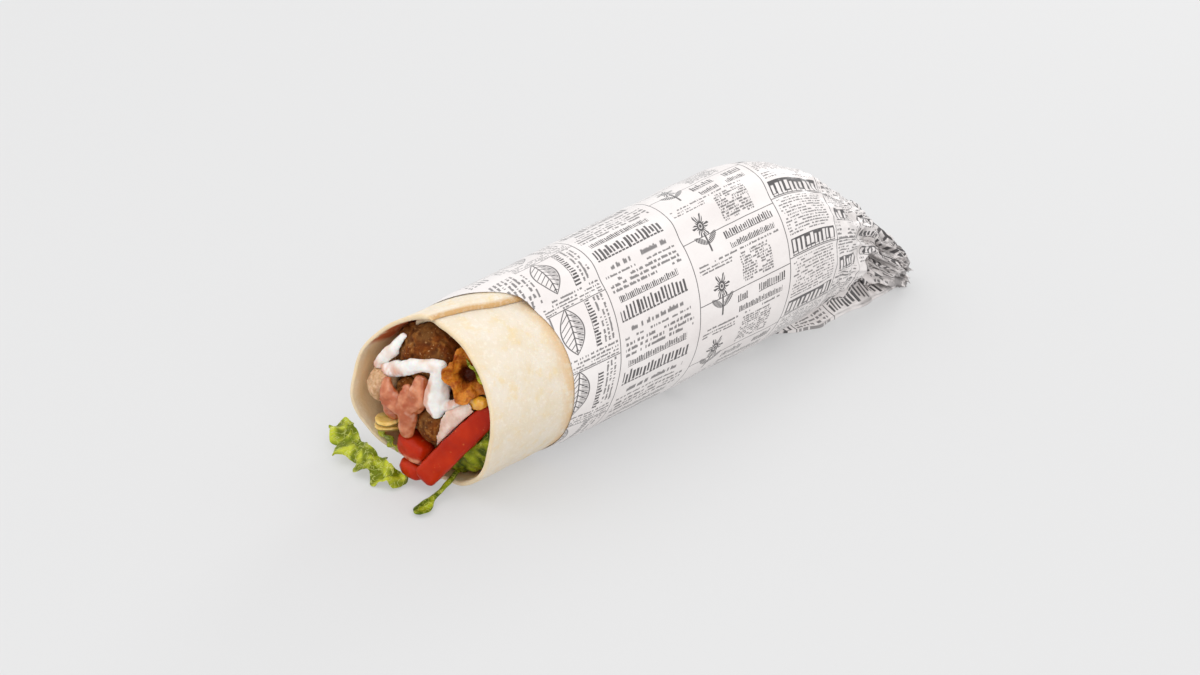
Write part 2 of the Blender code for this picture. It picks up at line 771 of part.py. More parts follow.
def make_leaves():
    bright = material("lettuce", (0.36, 0.40, 0.03), 0.5)
    dark = material("leaf", (0.12, 0.15, 0.01), 0.45)
    made = {}
    along_table = (
        (-91.5, 8.6, 5.2, 2.2),
        (-96.5, 7.6, 3.0, 3.0),
        (-102.6, 6.6, 2.8, 3.8),
        (-105.6, 11.5, 3.8, 4.2),
        (-105.8, 19.0, 4.8, 4.5),
        (-104.8, 27.6, 5.6, 4.9),
        (-101.7, 36.2, 6.4, 4.6),
        (-97.6, 44.4, 6.8, 3.0),
    )
    mesh = ribbon_leaf("lettuce_outer", along_table, (-0.86, -0.1, -0.5), 2.6, 5.0, 0.7, 5, 7)
    made["lettuce_outer"] = add_object("lettuce_outer", mesh, bright)
    along_wall = (
        (-99.4, 23.2, 17.4, 1.6),
        (-100.0, 20.8, 15.2, 2.6),
        (-100.2, 17.8, 13.2, 3.0),
        (-99.6, 14.8, 11.8, 2.8),
        (-98.6, 12.6, 11.2, 1.8),
    )
    mesh = ribbon_leaf("lettuce_inner", along_wall, (-0.35, -0.55, 0.75), 1.2, 3.0, 0.7, 4, 5)
    made["lettuce_inner"] = add_object("lettuce_inner", mesh, bright)
    span = (-178.0, -82.0)
    mesh = wall_leaf("leaf_near", span, (-87.0, 27.4), (-92.6, 17.4), 1.3, 3.0, 0.7, 7, 15)
    made["leaf_near"] = add_object("leaf_near", mesh, dark)
    span = (116.0, 162.0)
    mesh = wall_leaf("lettuce_top", span, (-82.0, 26.4), (-89.5, 22.0), 0.7, 1.5, 0.7, 4, 7)
    made["lettuce_top"] = add_object("lettuce_top", mesh, bright)
    stalk = (
        (-88.0, -5.6, 7.0, 0.8, 0.8),
        (-94.5, -7.2, 5.4, 0.9, 0.9),
        (-99.5, -7.6, 3.7, 1.0, 0.8),
        (-104.0, -8.0, 2.4, 1.5, 0.7),
        (-107.0, -8.6, 1.8, 2.9, 0.6),
        (-110.2, -9.6, 1.8, 3.2, 0.6),
        (-112.6, -10.6, 2.2, 1.6, 0.5),
    )
    mesh = swept_mesh("rocket", stalk, 3, 8)
    made["rocket_leaf"] = add_object("rocket_leaf", mesh, dark)
    return made


# Fried onion: a large curled crisp like a frilled cup, and a small one under it


def curl_mesh(name, centre, facing, radius, depth, thick, frills, seed, sides):
    """A frilled cup that opens along facing, with a wall that thins towards its edge."""
    facing = Vector(facing).normalized()
    side = facing.cross(Vector((0, 0, 1))).normalized()
    over = side.cross(facing)
    profile = [(0.0, 0.26, 1.0), (0.12, 0.38, 1.0), (0.55, 0.44, 1.0), (0.82, 0.72, 1.0), (1.0, 1.0, 0.5)]
    inner = [(height, width, -keep) for height, width, keep in reversed(profile)]
    rings = []
    for height, width, keep in profile + inner:
        ring = []
        for turn in range(sides):
            angle = math.tau * turn / sides
            frill = height**1.5
            where = Vector((math.cos(angle), math.sin(angle), seed))
            reach = radius * width * (1.0 + 0.30 * frill * noise.noise(where * 1.4))
            reach += radius * 0.16 * frill * math.sin(frills * angle + seed)
            rise = depth * height * (1.0 + 0.35 * noise.noise(where * 1.1 + Vector((5, 0, 0))))
            rise += depth * 0.16 * frill * math.sin((frills + 2) * angle)
            wall = thick * 0.5 * keep
            point = Vector(centre) + (side * math.cos(angle) + over * math.sin(angle)) * (reach + wall)
            ring.append(tuple(point + facing * (rise - wall * (1.0 - height))))
        rings.append(ring)
    return loft_mesh(name, rings)


def make_onion():
    crisp = material("fried_onion", (0.50, 0.20, 0.03), 0.5)
    made = {}
    mesh = curl_mesh("onion", (-86.8, -9.4, 44.6), (-0.62, -0.60, 0.50), 8.2, 7.6, 1.1, 5, 2.0, 22)
    made["fried_onion"] = add_object("fried_onion", mesh, crisp)
    yellow = material("pepper", (0.62, 0.27, 0.03), 0.3)
    mesh = ball_mesh("pepper", (-91.6, -19.0, 39.4), (2.8, 4.2, 2.4), 0.5, 3.0, 2, -18.0, 3.0, 2.6)
    made["yellow_pepper"] = add_object("yellow_pepper", mesh, yellow)
    mesh = curl_mesh("onion", (-90.0, -13.0, 39.9), (-0.55, -0.45, 0.70), 4.4, 3.2, 0.9, 4, 5.0, 14)
    made["fried_onion_small"] = add_object("fried_onion_small", mesh, crisp)
    pale = material("onion", (0.72, 0.50, 0.42), 0.35)
    band = (
        (-93.6, -17.6, 38.6, 2.2, 1.2),
        (-94.6, -12.6, 33.6, 2.8, 1.3),
        (-95.6, -8.8, 28.2, 3.4, 1.4),
        (-96.4, -6.4, 22.6, 3.0, 1.2),
        (-96.6, -5.4, 18.6, 1.8, 0.9),
    )
    mesh = swept_mesh("onion_band", band, 2, 8, (-0.617, -0.607, 0.5), 0.5)
    made["onion_band"] = add_object("onion_band", mesh, pale)
    return made


# Sauce: white and pink, in soft bands that lie over the falafel. Each is one solid


def make_sauce():
    white = material("white_sauce", (0.80, 0.77, 0.72), 0.25)
    pink = material("pink_sauce", (0.58, 0.20, 0.10), 0.25)
    outwards = (-0.617, -0.607, 0.5)
    band = (
        (-99.2, 18.4, 40.2, 2.3, 1.3),
        (-97.8, 14.8, 41.4, 2.8, 1.5),
        (-97.4, 10.0, 43.6, 2.6, 1.7),
        (-96.6, 5.6, 45.6, 2.5, 1.7),
        (-95.2, 1.2, 47.0, 2.3, 1.6),
        (-93.2, -3.0, 47.2, 2.4, 1.7),
    )
    blob = (
        (-93.6, -2.6, 46.6, 2.4, 1.8),
        (-94.3, -3.0, 42.3, 3.7, 2.3),
        (-94.8, -2.5, 38.0, 4.5, 2.6),
        (-96.0, -3.0, 33.8, 4.0, 2.4),
        (-96.6, -3.6, 31.0, 2.4, 1.7),
    )
    arm = (
        (-95.2, -3.8, 34.2, 2.2, 1.6),
        (-93.8, -7.4, 34.6, 1.9, 1.4),
        (-93.2, -11.4, 37.0, 1.8, 1.3),
        (-93.4, -15.0, 40.4, 1.6, 1.2),
    )
    stripe = (
        (-99.4, 21.4, 40.4, 1.7, 1.2),
        (-97.6, 18.8, 45.2, 2.3, 1.5),
        (-95.0, 16.0, 49.2, 2.2, 1.4),
        (-93.4, 14.6, 51.8, 1.6, 1.1),
    )
    fold = (
        (-95.8, 3.6, 41.0, 2.4, 1.3),
        (-97.6, 3.2, 37.6, 3.5, 1.6),
        (-98.2, 3.4, 33.6, 3.6, 1.6),
        (-98.4, 5.0, 29.6, 2.4, 1.3),
    )
    stream = (
        (-98.8, 7.8, 37.2, 2.0, 1.2),
        (-99.8, 7.0, 33.8, 3.1, 1.6),
        (-100.0, 6.9, 29.2, 3.4, 1.9),
        (-100.4, 6.9, 24.6, 3.1, 1.9),
        (-100.6, 6.6, 20.8, 2.4, 1.6),
    )
    patch = (
        (-101.0, 15.8, 37.8, 1.5, 1.0),
        (-101.8, 14.2, 34.4, 2.9, 1.2),
        (-101.4, 13.2, 30.6, 3.4, 1.3),
        (-101.0, 13.0, 27.0, 3.1, 1.3),
        (-100.6, 13.2, 24.4, 2.0, 1.1),
    )
    bridge = (
        (-101.2, 13.4, 32.0, 3.6, 1.3),
        (-100.8, 10.4, 31.4, 4.4, 1.4),
        (-99.9, 7.0, 32.4, 4.2, 1.4),
        (-98.6, 3.8, 34.4, 3.2, 1.3),
    )

    def poured(name, runs, finish):
        bodies = []
        for run in runs:
            mesh = swept_mesh("sauce", run, 2, 7, outwards, 0.25)
            bodies.append(add_object(name, mesh, finish))
        join(bodies[0], bodies[1:])
        return bodies[0]

    return {
        "white_sauce": poured("white_sauce", (blob, band, arm), white),
        "white_sauce_stripe": poured("white_sauce_stripe", (stripe,), white),
        "pink_sauce": poured("pink_sauce", (patch, bridge, stream, fold), pink),
    }


def rest_on_origin(root):
    """Moves the whole wrap so that the middle of its box's underside is at the origin."""
    corners = [vertex.co for made in root.children for vertex in made.data.vertices]
    low = Vector(min(corner[axis] for corner in corners) for axis in range(3))
    high = Vector(max(corner[axis] for corner in corners) for axis in range(3))
    middle = (low + high) / 2.0
    root.location = (-middle.x, -middle.y, -low.z)


for old in list(bpy.data.objects):
    bpy.data.objects.remove(old)
WRAP = bpy.data.objects.new("wrap", None)
bpy.context.scene.collection.objects.link(WRAP)

bread = make_flatbread()
paper = make_paper()
core = make_core()
leaves = make_leaves()
tomato = make_tomato()
falafel = make_falafel()
pickles = make_pickles()
onion = make_onion()
sauce = make_sauce()
settle(
    [bread]
    + list(tomato.values())
    + list(falafel.values())
    + list(pickles.values())
    + list(onion.values())
    + list(leaves.values())
    + list(sauce.values())
)
rest_on_origin(WRAP)
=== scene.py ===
import math

import bpy
import numpy as np
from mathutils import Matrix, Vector, noise


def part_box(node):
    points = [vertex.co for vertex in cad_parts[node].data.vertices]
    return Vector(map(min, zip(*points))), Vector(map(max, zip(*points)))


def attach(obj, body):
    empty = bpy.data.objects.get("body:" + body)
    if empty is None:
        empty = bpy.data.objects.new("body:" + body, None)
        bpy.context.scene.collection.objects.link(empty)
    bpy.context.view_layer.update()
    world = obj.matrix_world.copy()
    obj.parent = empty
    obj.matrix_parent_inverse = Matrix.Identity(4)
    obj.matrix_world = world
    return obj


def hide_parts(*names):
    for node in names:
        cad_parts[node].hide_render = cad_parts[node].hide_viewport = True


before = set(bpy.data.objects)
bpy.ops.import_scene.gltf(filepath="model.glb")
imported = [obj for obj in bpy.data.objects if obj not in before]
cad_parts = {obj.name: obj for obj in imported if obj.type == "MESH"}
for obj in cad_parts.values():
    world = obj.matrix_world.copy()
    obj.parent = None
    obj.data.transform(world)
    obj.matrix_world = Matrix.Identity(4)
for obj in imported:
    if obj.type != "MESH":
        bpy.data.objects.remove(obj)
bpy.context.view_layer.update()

# Falafel
# Chickpea balls, shaped by hand and fried: a dark, crumbly crust with small pits and paler
# crumbs. The left one is broken open and shows its pale, grainy inside.

# Every section works in the wrap's own millimetres, with its axis along X over y = 0 and the
# table at z = TABLE. SHIFT takes them to where the bread's solid stands in the frame.
MM = 0.001
TABLE = 0.8
BREAD_END_X = 76.0
BREAD_NEAR_Y = -30.575
low_corner, high_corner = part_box("flatbread")
SHIFT = Vector(
    (high_corner[0] - BREAD_END_X * MM, low_corner[1] - BREAD_NEAR_Y * MM, -TABLE * MM)
)


def own_place(spot):
    """A place in the frame, in the wrap's own millimetres."""
    return Vector(spot) / MM - SHIFT / MM


class Field:
    """A number that varies over a surface. Arithmetic on it adds nodes to its tree."""

    def __init__(self, tree, socket):
        self.tree = tree
        self.socket = socket

    def math(self, operation, *others, clamped=False):
        node = self.tree.nodes.new("ShaderNodeMath")
        node.operation = operation
        node.use_clamp = clamped
        for slot, value in zip(node.inputs, (self, *others)):
            if isinstance(value, Field):
                self.tree.links.new(value.socket, slot)
            else:
                slot.default_value = value
        return Field(self.tree, node.outputs[0])

    def __add__(self, other):
        return self.math("ADD", other)

    def __sub__(self, other):
        return self.math("SUBTRACT", other)

    def __mul__(self, other):
        return self.math("MULTIPLY", other)

    def __truediv__(self, other):
        return self.math("DIVIDE", other)

    def ramp(self, limit, slope):
        """Rises or falls through a half at a limit, and stays between 0 and 1."""
        if isinstance(limit, Field):
            return (self - limit).math("MULTIPLY_ADD", slope, 0.5, clamped=True)
        return self.math("MULTIPLY_ADD", slope, 0.5 - limit * slope, clamped=True)

    def over(self, limit, soft=0.0):
        """1 where the number is over a limit, with a soft edge if one is given."""
        if soft:
            return self.ramp(limit, 1.0 / soft)
        return self.math("GREATER_THAN", limit)

    def under(self, limit, soft):
        """1 where the number is under a limit, with a soft edge."""
        return self.ramp(limit, -1.0 / soft)

    def whole(self):
        """The number rounded down, and part is what is left."""
        return self.math("FLOOR")

    def part(self):
        return self.math("FRACT")

    def most(self, other):
        """The larger of two."""
        return self.math("MAXIMUM", other)


def make_grain():
    """Lumpy noise as a node group. Amount is the noise, and Patches is 1 where it is over the limit."""
    group = bpy.data.node_groups.new("grain", "ShaderNodeTree")
    group.interface.new_socket("Place", in_out="INPUT", socket_type="NodeSocketVector")
    for name in ("Scale", "Detail", "Roughness", "Seed", "Limit", "Softness"):
        group.interface.new_socket(name, in_out="INPUT", socket_type="NodeSocketFloat")
    for name in ("Amount", "Patches"):
        group.interface.new_socket(name, in_out="OUTPUT", socket_type="NodeSocketFloat")
    given = group.nodes.new("NodeGroupInput")
    result = group.nodes.new("NodeGroupOutput")
    lumps = group.nodes.new("ShaderNodeTexNoise")
    lumps.noise_dimensions = "4D"
    for socket, name in (("Vector", "Place"), ("W", "Seed"), ("Scale", "Scale")):
        group.links.new(given.outputs[name], lumps.inputs[socket])
    for name in ("Detail", "Roughness"):
        group.links.new(given.outputs[name], lumps.inputs[name])
    amount = Field(group, lumps.outputs["Fac"])
    above = (amount - Field(group, given.outputs["Limit"])) / Field(group, given.outputs["Softness"])
    group.links.new(amount.socket, result.inputs["Amount"])
    group.links.new(above.math("ADD", 0.5, clamped=True).socket, result.inputs["Patches"])
    return group


GRAIN = make_grain()


class Finish:
    """A material with its shader, and short ways to add what varies over the surface."""

    def __init__(self, name, **settings):
        self.material = bpy.data.materials.new(name)
        self.material.use_nodes = True
        self.tree = self.material.node_tree
        self.shader = self.tree.nodes["Principled BSDF"]
        for socket, value in settings.items():
            self.shader.inputs[socket.replace("_", " ")].default_value = value
        self.place = self.tree.nodes.new("ShaderNodeTexCoord").outputs["Object"]

    def mark(self, name):
        """A number that each point of the mesh carries."""
        node = self.tree.nodes.new("ShaderNodeAttribute")
        node.attribute_name = name
        return Field(self.tree, node.outputs["Fac"])

    def place_grain(self, size, detail, roughness, seed):
        """Places the grain group with lumps about size millimetres across."""
        node = self.tree.nodes.new("ShaderNodeGroup")
        node.node_tree = GRAIN
        self.tree.links.new(self.place, node.inputs["Place"])
        node.inputs["Scale"].default_value = 1.0 / (size * MM)
        node.inputs["Detail"].default_value = detail
        node.inputs["Roughness"].default_value = roughness
        node.inputs["Seed"].default_value = seed
        return node

    def grain(self, size, detail=3.0, roughness=0.55, seed=0.0):
        """The noise itself, around a half."""
        return Field(self.tree, self.place_grain(size, detail, roughness, seed).outputs["Amount"])

    def patches(self, limit, softness, size, detail=3.0, roughness=0.55, seed=0.0):
        """1 in patches where such noise is over a limit, with a soft edge."""
        node = self.place_grain(size, detail, roughness, seed)
        node.inputs["Limit"].default_value = limit
        node.inputs["Softness"].default_value = softness
        return Field(self.tree, node.outputs["Patches"])

    def mix(self, first, second, share):
        """A colour between two, each a colour or the output of another mix."""
        node = self.tree.nodes.new("ShaderNodeMix")
        node.data_type = "RGBA"
        self.tree.links.new(share.socket, node.inputs["Factor"])
        for slot, colour in ((node.inputs[6], first), (node.inputs[7], second)):
            if isinstance(colour, tuple):
                slot.default_value = (*colour, 1.0)
            else:
                self.tree.links.new(colour, slot)
        return node.outputs[2]

    def paint(self, colour):
        self.tree.links.new(colour, self.shader.inputs["Base Color"])

    def bumps(self, field, depth):
        """Fine relief in the shading: depth is in millimetres."""
        node = self.tree.nodes.new("ShaderNodeBump")
        node.inputs["Distance"].default_value = depth * MM
        self.tree.links.new(field.socket, node.inputs["Height"])
        self.tree.links.new(node.outputs[0], self.shader.inputs["Normal"])


def node_copy(node, *modifiers):
    """A new mesh from a CAD node's mesh through modifiers, each as (type, settings)."""
    holder = bpy.data.objects.new("holder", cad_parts[node].data.copy())
    bpy.context.scene.collection.objects.link(holder)
    weld = holder.modifiers.new("weld", "WELD")
    weld.merge_threshold = 0.01 * MM
    for kind, settings in modifiers:
        modifier = holder.modifiers.new(kind, kind)
        for setting, value in settings.items():
            setattr(modifier, setting, value)
    graph = bpy.context.evaluated_depsgraph_get()
    mesh = bpy.data.meshes.new_from_object(holder.evaluated_get(graph))
    bpy.data.objects.remove(holder)
    return mesh


def fine_copy(node, face, rounding):
    """A CAD node's shape in even faces of a size in millimetres, a little rounded."""
    even = ("REMESH", {"mode": "VOXEL", "voxel_size": face * MM})
    return node_copy(node, even, ("SMOOTH", {"iterations": rounding}))


def add_mark(mesh, name, values):
    """Gives each point of a mesh a number for its material to read."""
    mark = mesh.attributes.new(name, "FLOAT", "POINT")
    mark.data.foreach_set("value", np.asarray(values, np.float32))


def raise_relief(mesh, height_at):
    """Moves each point along its normal by height_at(place) millimetres, and marks it with that height."""
    count = len(mesh.vertices)
    spots = np.empty(count * 3)
    mesh.vertices.foreach_get("co", spots)
    spots = spots.reshape(-1, 3)
    normals = np.array([tuple(normal.vector) for normal in mesh.vertex_normals])
    heights = np.array([height_at(own_place(spot)) for spot in spots])
    spots += normals * heights[:, None] * MM
    mesh.vertices.foreach_set("co", spots.ravel())
    add_mark(mesh, "relief", heights)
    mesh.update()


def add_piece(name, mesh, finish, node, slot):
    """Puts a mesh in the scene as the looks of a CAD node."""
    mesh.materials.clear()
    mesh.materials.append(finish.material)
    mesh.shade_smooth()
    made = bpy.data.objects.new(name, mesh)
    bpy.context.scene.collection.objects.link(made)
    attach(made, "root")
    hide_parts(node)


CRUST_LUMP = 3.4


def craggy(high, seed):
    """Relief of a crumbly crust: lumps high millimetres high, with cracks between them."""

    def height_at(at):
        spot = at / CRUST_LUMP + Vector((seed, 0.0, seed * 2.0))
        lumps = noise.fractal(spot, 0.8, 2.2, 4)
        cracks = 0.6 - abs(noise.noise(spot * 1.7)) * 3.0
        return high * 0.5 * (lumps + cracks)

    return height_at


crust = Finish("falafel", Roughness=0.6, Specular_IOR_Level=0.12)
tint = crust.mix((0.09, 0.016, 0.001), (0.24, 0.062, 0.004), crust.patches(0.52, 0.36, 1.8, 5.0, 0.7))
tint = crust.mix(tint, (0.42, 0.17, 0.035), crust.patches(0.58, 0.14, 3.2, 3.0, 0.6, 5.0) * 0.6)
tint = crust.mix(tint, (0.56, 0.31, 0.13), crust.patches(0.66, 0.08, 0.8, 2.0, 0.5, 8.0) * 0.8)
tint = crust.mix(tint, (0.17, 0.085, 0.024), crust.patches(0.5, 0.16, 9.0, 2.0, 0.5, 3.0) * 0.55)
# Painted shade: the crust is painted near black where its relief sinks into cracks and pits.
crust.paint(crust.mix((0.06, 0.012, 0.001), tint, crust.mark("relief").over(-0.26, 0.5)))
crust.bumps(crust.grain(1.1, 5.0, 0.75, 2.0), 0.5)

crumb = Finish(
    "falafel_inside",
    Roughness=0.7,
    Specular_IOR_Level=0.15,
    Subsurface_Weight=0.1,
    Subsurface_Scale=0.002,
)
tint = crumb.mix((0.42, 0.22, 0.09), (0.72, 0.47, 0.29), crumb.patches(0.47, 0.3, 1.5, 5.0, 0.65))
crumb.paint(crumb.mix(tint, (0.30, 0.12, 0.03), crumb.patches(0.6, 0.14, 2.8, 4.0, 0.6, 5.0) * 0.8))
crumb.bumps(crumb.grain(0.7, 5.0, 0.7, 2.0), 0.35)

for name, finish, slot, high, seed in (
    ("falafel_top", crust, "falafel", 0.55, 1.0),
    ("falafel_left", crumb, "falafel_pale", 0.5, 4.0),
    ("falafel_middle", crust, "falafel", 0.65, 7.0),
    ("falafel_low", crust, "falafel", 0.5, 9.0),
):
    ball = fine_copy(name, 0.42, 6)
    raise_relief(ball, craggy(high, seed))
    add_piece(name + "_crust", ball, finish, name, slot)

# Filling behind what shows
# A moist mass of the same falafel crumbs and sauce, dark between the pieces at the mouth. It is
# packed into the roll by hand and shows only in the gaps, so it keeps its solid's own surface.
filling = Finish("filling", Roughness=0.6)
mash = filling.grain(3.0, 5.0, 0.65)
filling.paint(filling.mix((0.09, 0.03, 0.008), (0.30, 0.13, 0.05), mash.over(0.5, 0.3)))
filling.bumps(mash, 0.8)
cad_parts["filling_core"].data.materials.clear()
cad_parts["filling_core"].data.materials.append(filling.material)

# Tomato
# A long strip and two chunks of ripe tomato, cut with a knife: wet red skin, and paler, juicy
# flesh. A thin film of sauce lies across the chunk.
FILM_FROM = 1.2
FILM_TO = 4.6


def clamp(value, low=0.0, high=1.0):
    """The value, kept between two limits."""
    return max(low, min(high, value))


def smooth(value):
    """A soft step from 0 to 1."""
    value = clamp(value)
    return value * value * (3.0 - 2.0 * value)


tomato = Finish(
    "tomato",
    Roughness=0.36,
    Specular_IOR_Level=0.16,
    Subsurface_Weight=0.1,
    Subsurface_Radius=(1.0, 0.25, 0.1),
    Subsurface_Scale=0.003,
)
tint = tomato.mix((0.31, 0.009, 0.001), (0.48, 0.026, 0.002), tomato.patches(0.5, 0.4, 9.0, 2.0))
tint = tomato.mix(tint, (0.68, 0.19, 0.05), tomato.patches(0.66, 0.1, 2.0, 4.0, 0.6, 4.0) * 0.4)
tomato.paint(tomato.mix(tint, (0.72, 0.36, 0.22), tomato.mark("film")))
tomato.bumps(tomato.grain(2.4, 2.0, 0.5, 3.0), 0.06)
for name, filmed in (("tomato_strip", 0.0), ("tomato_chunk", 0.8), ("tomato_low", 0.0)):
    piece = fine_copy(name, 0.40, 5)
    raise_relief(piece, lambda at: 0.22 * noise.noise(at * 0.35))
    lowest = min(vertex.co.z for vertex in piece.vertices)
    film = []
    for vertex in piece.vertices:
        height = (vertex.co.z - lowest) / MM
        band = smooth(height / FILM_FROM) * smooth((FILM_TO - height) / 1.6)
        film.append(filmed * clamp(band * (0.6 + noise.noise(vertex.co / MM * 0.5))))
    add_mark(piece, "film", film)
    add_piece(name + "_flesh", piece, tomato, name, "tomato")

# Pickle
# Thin wet slices of pickled cucumber, cut across with a knife: yellow-green flesh with a darker
# rind round the edge. They lie flat on each other under the left falafel.
SLICE_WAY = Vector((-0.42, -0.1, 0.9))
pickle = Finish(
    "pickle",
    Roughness=0.3,
    Specular_IOR_Level=0.35,
    Subsurface_Weight=0.15,
    Subsurface_Scale=0.002,
)
tint = pickle.mix((0.60, 0.37, 0.06), (0.86, 0.61, 0.22), pickle.patches(0.45, 0.3, 2.6, 4.0))
pickle.paint(pickle.mix(tint, (0.15, 0.10, 0.008), pickle.mark("rind").over(0.62, 0.2) * 0.85))
pickle.bumps(pickle.grain(0.9, 3.0, 0.6, 2.0), 0.15)
for name in ("pickle_upper", "pickle_lower"):
    piece = fine_copy(name, 0.33, 5)
    raise_relief(piece, lambda at: 0.14 * noise.noise(at * 0.7))
    across = [1.0 - abs(normal.vector.dot(SLICE_WAY)) for normal in piece.vertex_normals]
    add_mark(piece, "rind", across)
    add_piece(name + "_slice", piece, pickle, name, "pickle")

# Leaves
# Curly lettuce, light green with pale ribs, and darker salad leaves: one inside and one rocket
# leaf whose stalk hangs out of the mouth. All are thin and waxy, torn by hand and tucked in.
CURL = {"lettuce_outer": 1.5, "leaf_near": 0.7, "lettuce_inner": 0.5}
LEAST_CURL = 0.25


def leaf_finish(name, dark, light, pale_rib):
    """A waxy leaf with fine pale veins, in cloudy patches that are partly its own uneven tone, with painted
    light on random crests and where its frill lifts, and painted shade between them.
    """
    made = Finish(
        name,
        Roughness=0.42,
        Specular_IOR_Level=0.15,
        Subsurface_Weight=0.2,
        Subsurface_Radius=(0.6, 1.0, 0.2),
        Subsurface_Scale=0.0015,
    )
    # Painted light and shade: the leaf is painted lighter on the crests of the mark below and darker between
    # them, over its own cloudy tone.
    cloudy = made.grain(4.5, 4.0, 0.6) * 0.5 + made.mark("raised")
    tint = made.mix(dark, light, cloudy.over(0.32, 0.4))
    veins = (made.grain(2.2, 2.0, 0.4, 4.0) - 0.5).math("ABSOLUTE").under(0.018, 0.02)
    made.paint(made.mix(tint, pale_rib, veins * 0.55))
    made.bumps(made.grain(1.6, 4.0, 0.6, 2.0) + veins * -0.4, 0.3)
    return made


def divided_copy(node, times):
    """A CAD node's mesh with each face rounded off and cut into smaller ones."""
    return node_copy(node, ("SUBSURF", {"levels": times, "render_levels": times}))


def drift(spot):
    """A smoothly wandering vector, worked out from three noises."""
    return Vector([noise.noise(spot + Vector((far, far * 2.0, 0.0))) for far in (9.3, 31.7, 57.1)])


lettuce = leaf_finish("lettuce", (0.14, 0.17, 0.003), (0.50, 0.53, 0.04), (0.70, 0.72, 0.24))
salad = leaf_finish("salad_leaf", (0.055, 0.085, 0.001), (0.36, 0.41, 0.012), (0.56, 0.58, 0.12))
for name, finish, slot in (
    ("lettuce_outer", lettuce, "lettuce"),
    ("lettuce_inner", lettuce, "lettuce"),
    ("lettuce_top", lettuce, "lettuce"),
    ("leaf_near", salad, "leaf"),
    ("rocket_leaf", salad, "leaf"),
):
    blade = divided_copy(name, 3)
    curl = CURL.get(name, LEAST_CURL)
    raised = []
    for vertex in blade.vertices:
        at = own_place(vertex.co)
        frill = curl * 1.2 * drift(at * 0.24) + curl * 0.12 * drift(at * 0.8)
        lift = 2.2 * curl * max(0.0, noise.noise(Vector((at.x * 0.21, at.y * 0.21, 5.0))))
        vertex.co += Vector((frill.x, frill.y, max(frill.z, -0.1) + lift)) * MM
        vertex.co.z = max(vertex.co.z, 0.1 * MM)
        # Painted light and shade: random crests, plus a little of the frill's rise, mark where the leaf is
        # painted lighter, and the rest is painted darker.
        crest = clamp(0.5 * noise.noise(at * 0.34 + Vector((2.0, 7.0, 1.0))), -0.3, 0.3)
        raised.append(crest + frill.z * 0.1)
    add_mark(blade, "raised", raised)
    add_piece(name + "_blade", blade, finish, name, slot)

# Fried and raw onion, and pepper
# Crisp fried onion curled like a frilled cup, brown, with painted shade deep in its hollow; a moist band of
# raw onion that the sauce has tinted; and a small piece of yellow pepper. All are sliced thin.
CUP_MIDDLE = Vector((-86.8, -9.4, 44.6))
CUP_WAY = Vector((-0.62, -0.60, 0.50)).normalized()
CUP_RADIUS = 3.9
CUP_DEPTH = 7.0


def in_hollow(at):
    """1 deep in the cup of fried onion, and 0 outside it."""
    away = at - CUP_MIDDLE
    deep = away.dot(CUP_WAY)
    aside = (away - CUP_WAY * deep).length
    return clamp((CUP_RADIUS - aside) / 1.6) * clamp((CUP_DEPTH - deep) / 3.0)


crisp = Finish(
    "fried_onion",
    Roughness=0.4,
    Specular_IOR_Level=0.2,
    Subsurface_Weight=0.12,
    Subsurface_Scale=0.002,
)
tint = crisp.mix((0.28, 0.055, 0.004), (0.58, 0.20, 0.018), crisp.patches(0.50, 0.2, 3.4, 4.0, 0.6))
tint = crisp.mix(tint, (0.64, 0.34, 0.07), crisp.patches(0.63, 0.1, 1.0, 3.0, 0.6, 4.0) * 0.6)
# Painted shade: the cup's hollow is painted near black, more so deeper in.
crisp.paint(crisp.mix(tint, (0.10, 0.014, 0.002), crisp.mark("hollow")))
crisp.bumps(crisp.grain(0.9, 4.0, 0.65, 2.0), 0.3)
for name, hollow in (("fried_onion", 1.0), ("fried_onion_small", 0.0)):
    piece = divided_copy(name, 2)
    raise_relief(piece, lambda at: 0.55 * noise.noise(at * 0.45) + 0.3 * noise.noise(at * 1.3))
    add_mark(piece, "hollow", [hollow * in_hollow(own_place(vertex.co)) for vertex in piece.vertices])
    add_piece(name + "_crisp", piece, crisp, name, "fried_onion")

raw = Finish(
    "raw_onion",
    Roughness=0.28,
    Coat_Weight=0.2,
    Coat_Roughness=0.12,
    Subsurface_Weight=0.3,
    Subsurface_Scale=0.003,
)
raw.paint(raw.mix((0.60, 0.34, 0.24), (0.78, 0.62, 0.54), raw.patches(0.5, 0.3, 4.0)))
pepper = Finish(
    "pepper",
    Roughness=0.25,
    Coat_Weight=0.3,
    Coat_Roughness=0.1,
    Subsurface_Weight=0.2,
    Subsurface_Scale=0.002,
)
pepper.paint(pepper.mix((0.60, 0.24, 0.015), (0.74, 0.40, 0.04), pepper.patches(0.5, 0.3, 3.0)))
for name, finish, slot in (("onion_band", raw, "onion"), ("yellow_pepper", pepper, "pepper")):
    piece = fine_copy(name, 0.35, 6)
    raise_relief(piece, lambda at: 0.15 * noise.noise(at * 0.5))
    add_piece(name + "_piece", piece, finish, name, slot)

# Sauce
# Thick white garlic sauce in soft bands, and the same sauce turned pink where it has mixed with
# chilli sauce and run down over the falafel. Both are poured on last, wet and slightly see-through.
TO_LEFT = Vector((-0.70, 0.71, 0.0))
TINGE_BELOW = 45.0


def tinge_at(height, normal):
    """How pink the white sauce is: most on the left side of its lower part."""
    leftward = smooth((normal.dot(TO_LEFT) - 0.25) / 0.5)
    return 0.75 * leftward * smooth((TINGE_BELOW - height) / 4.0)


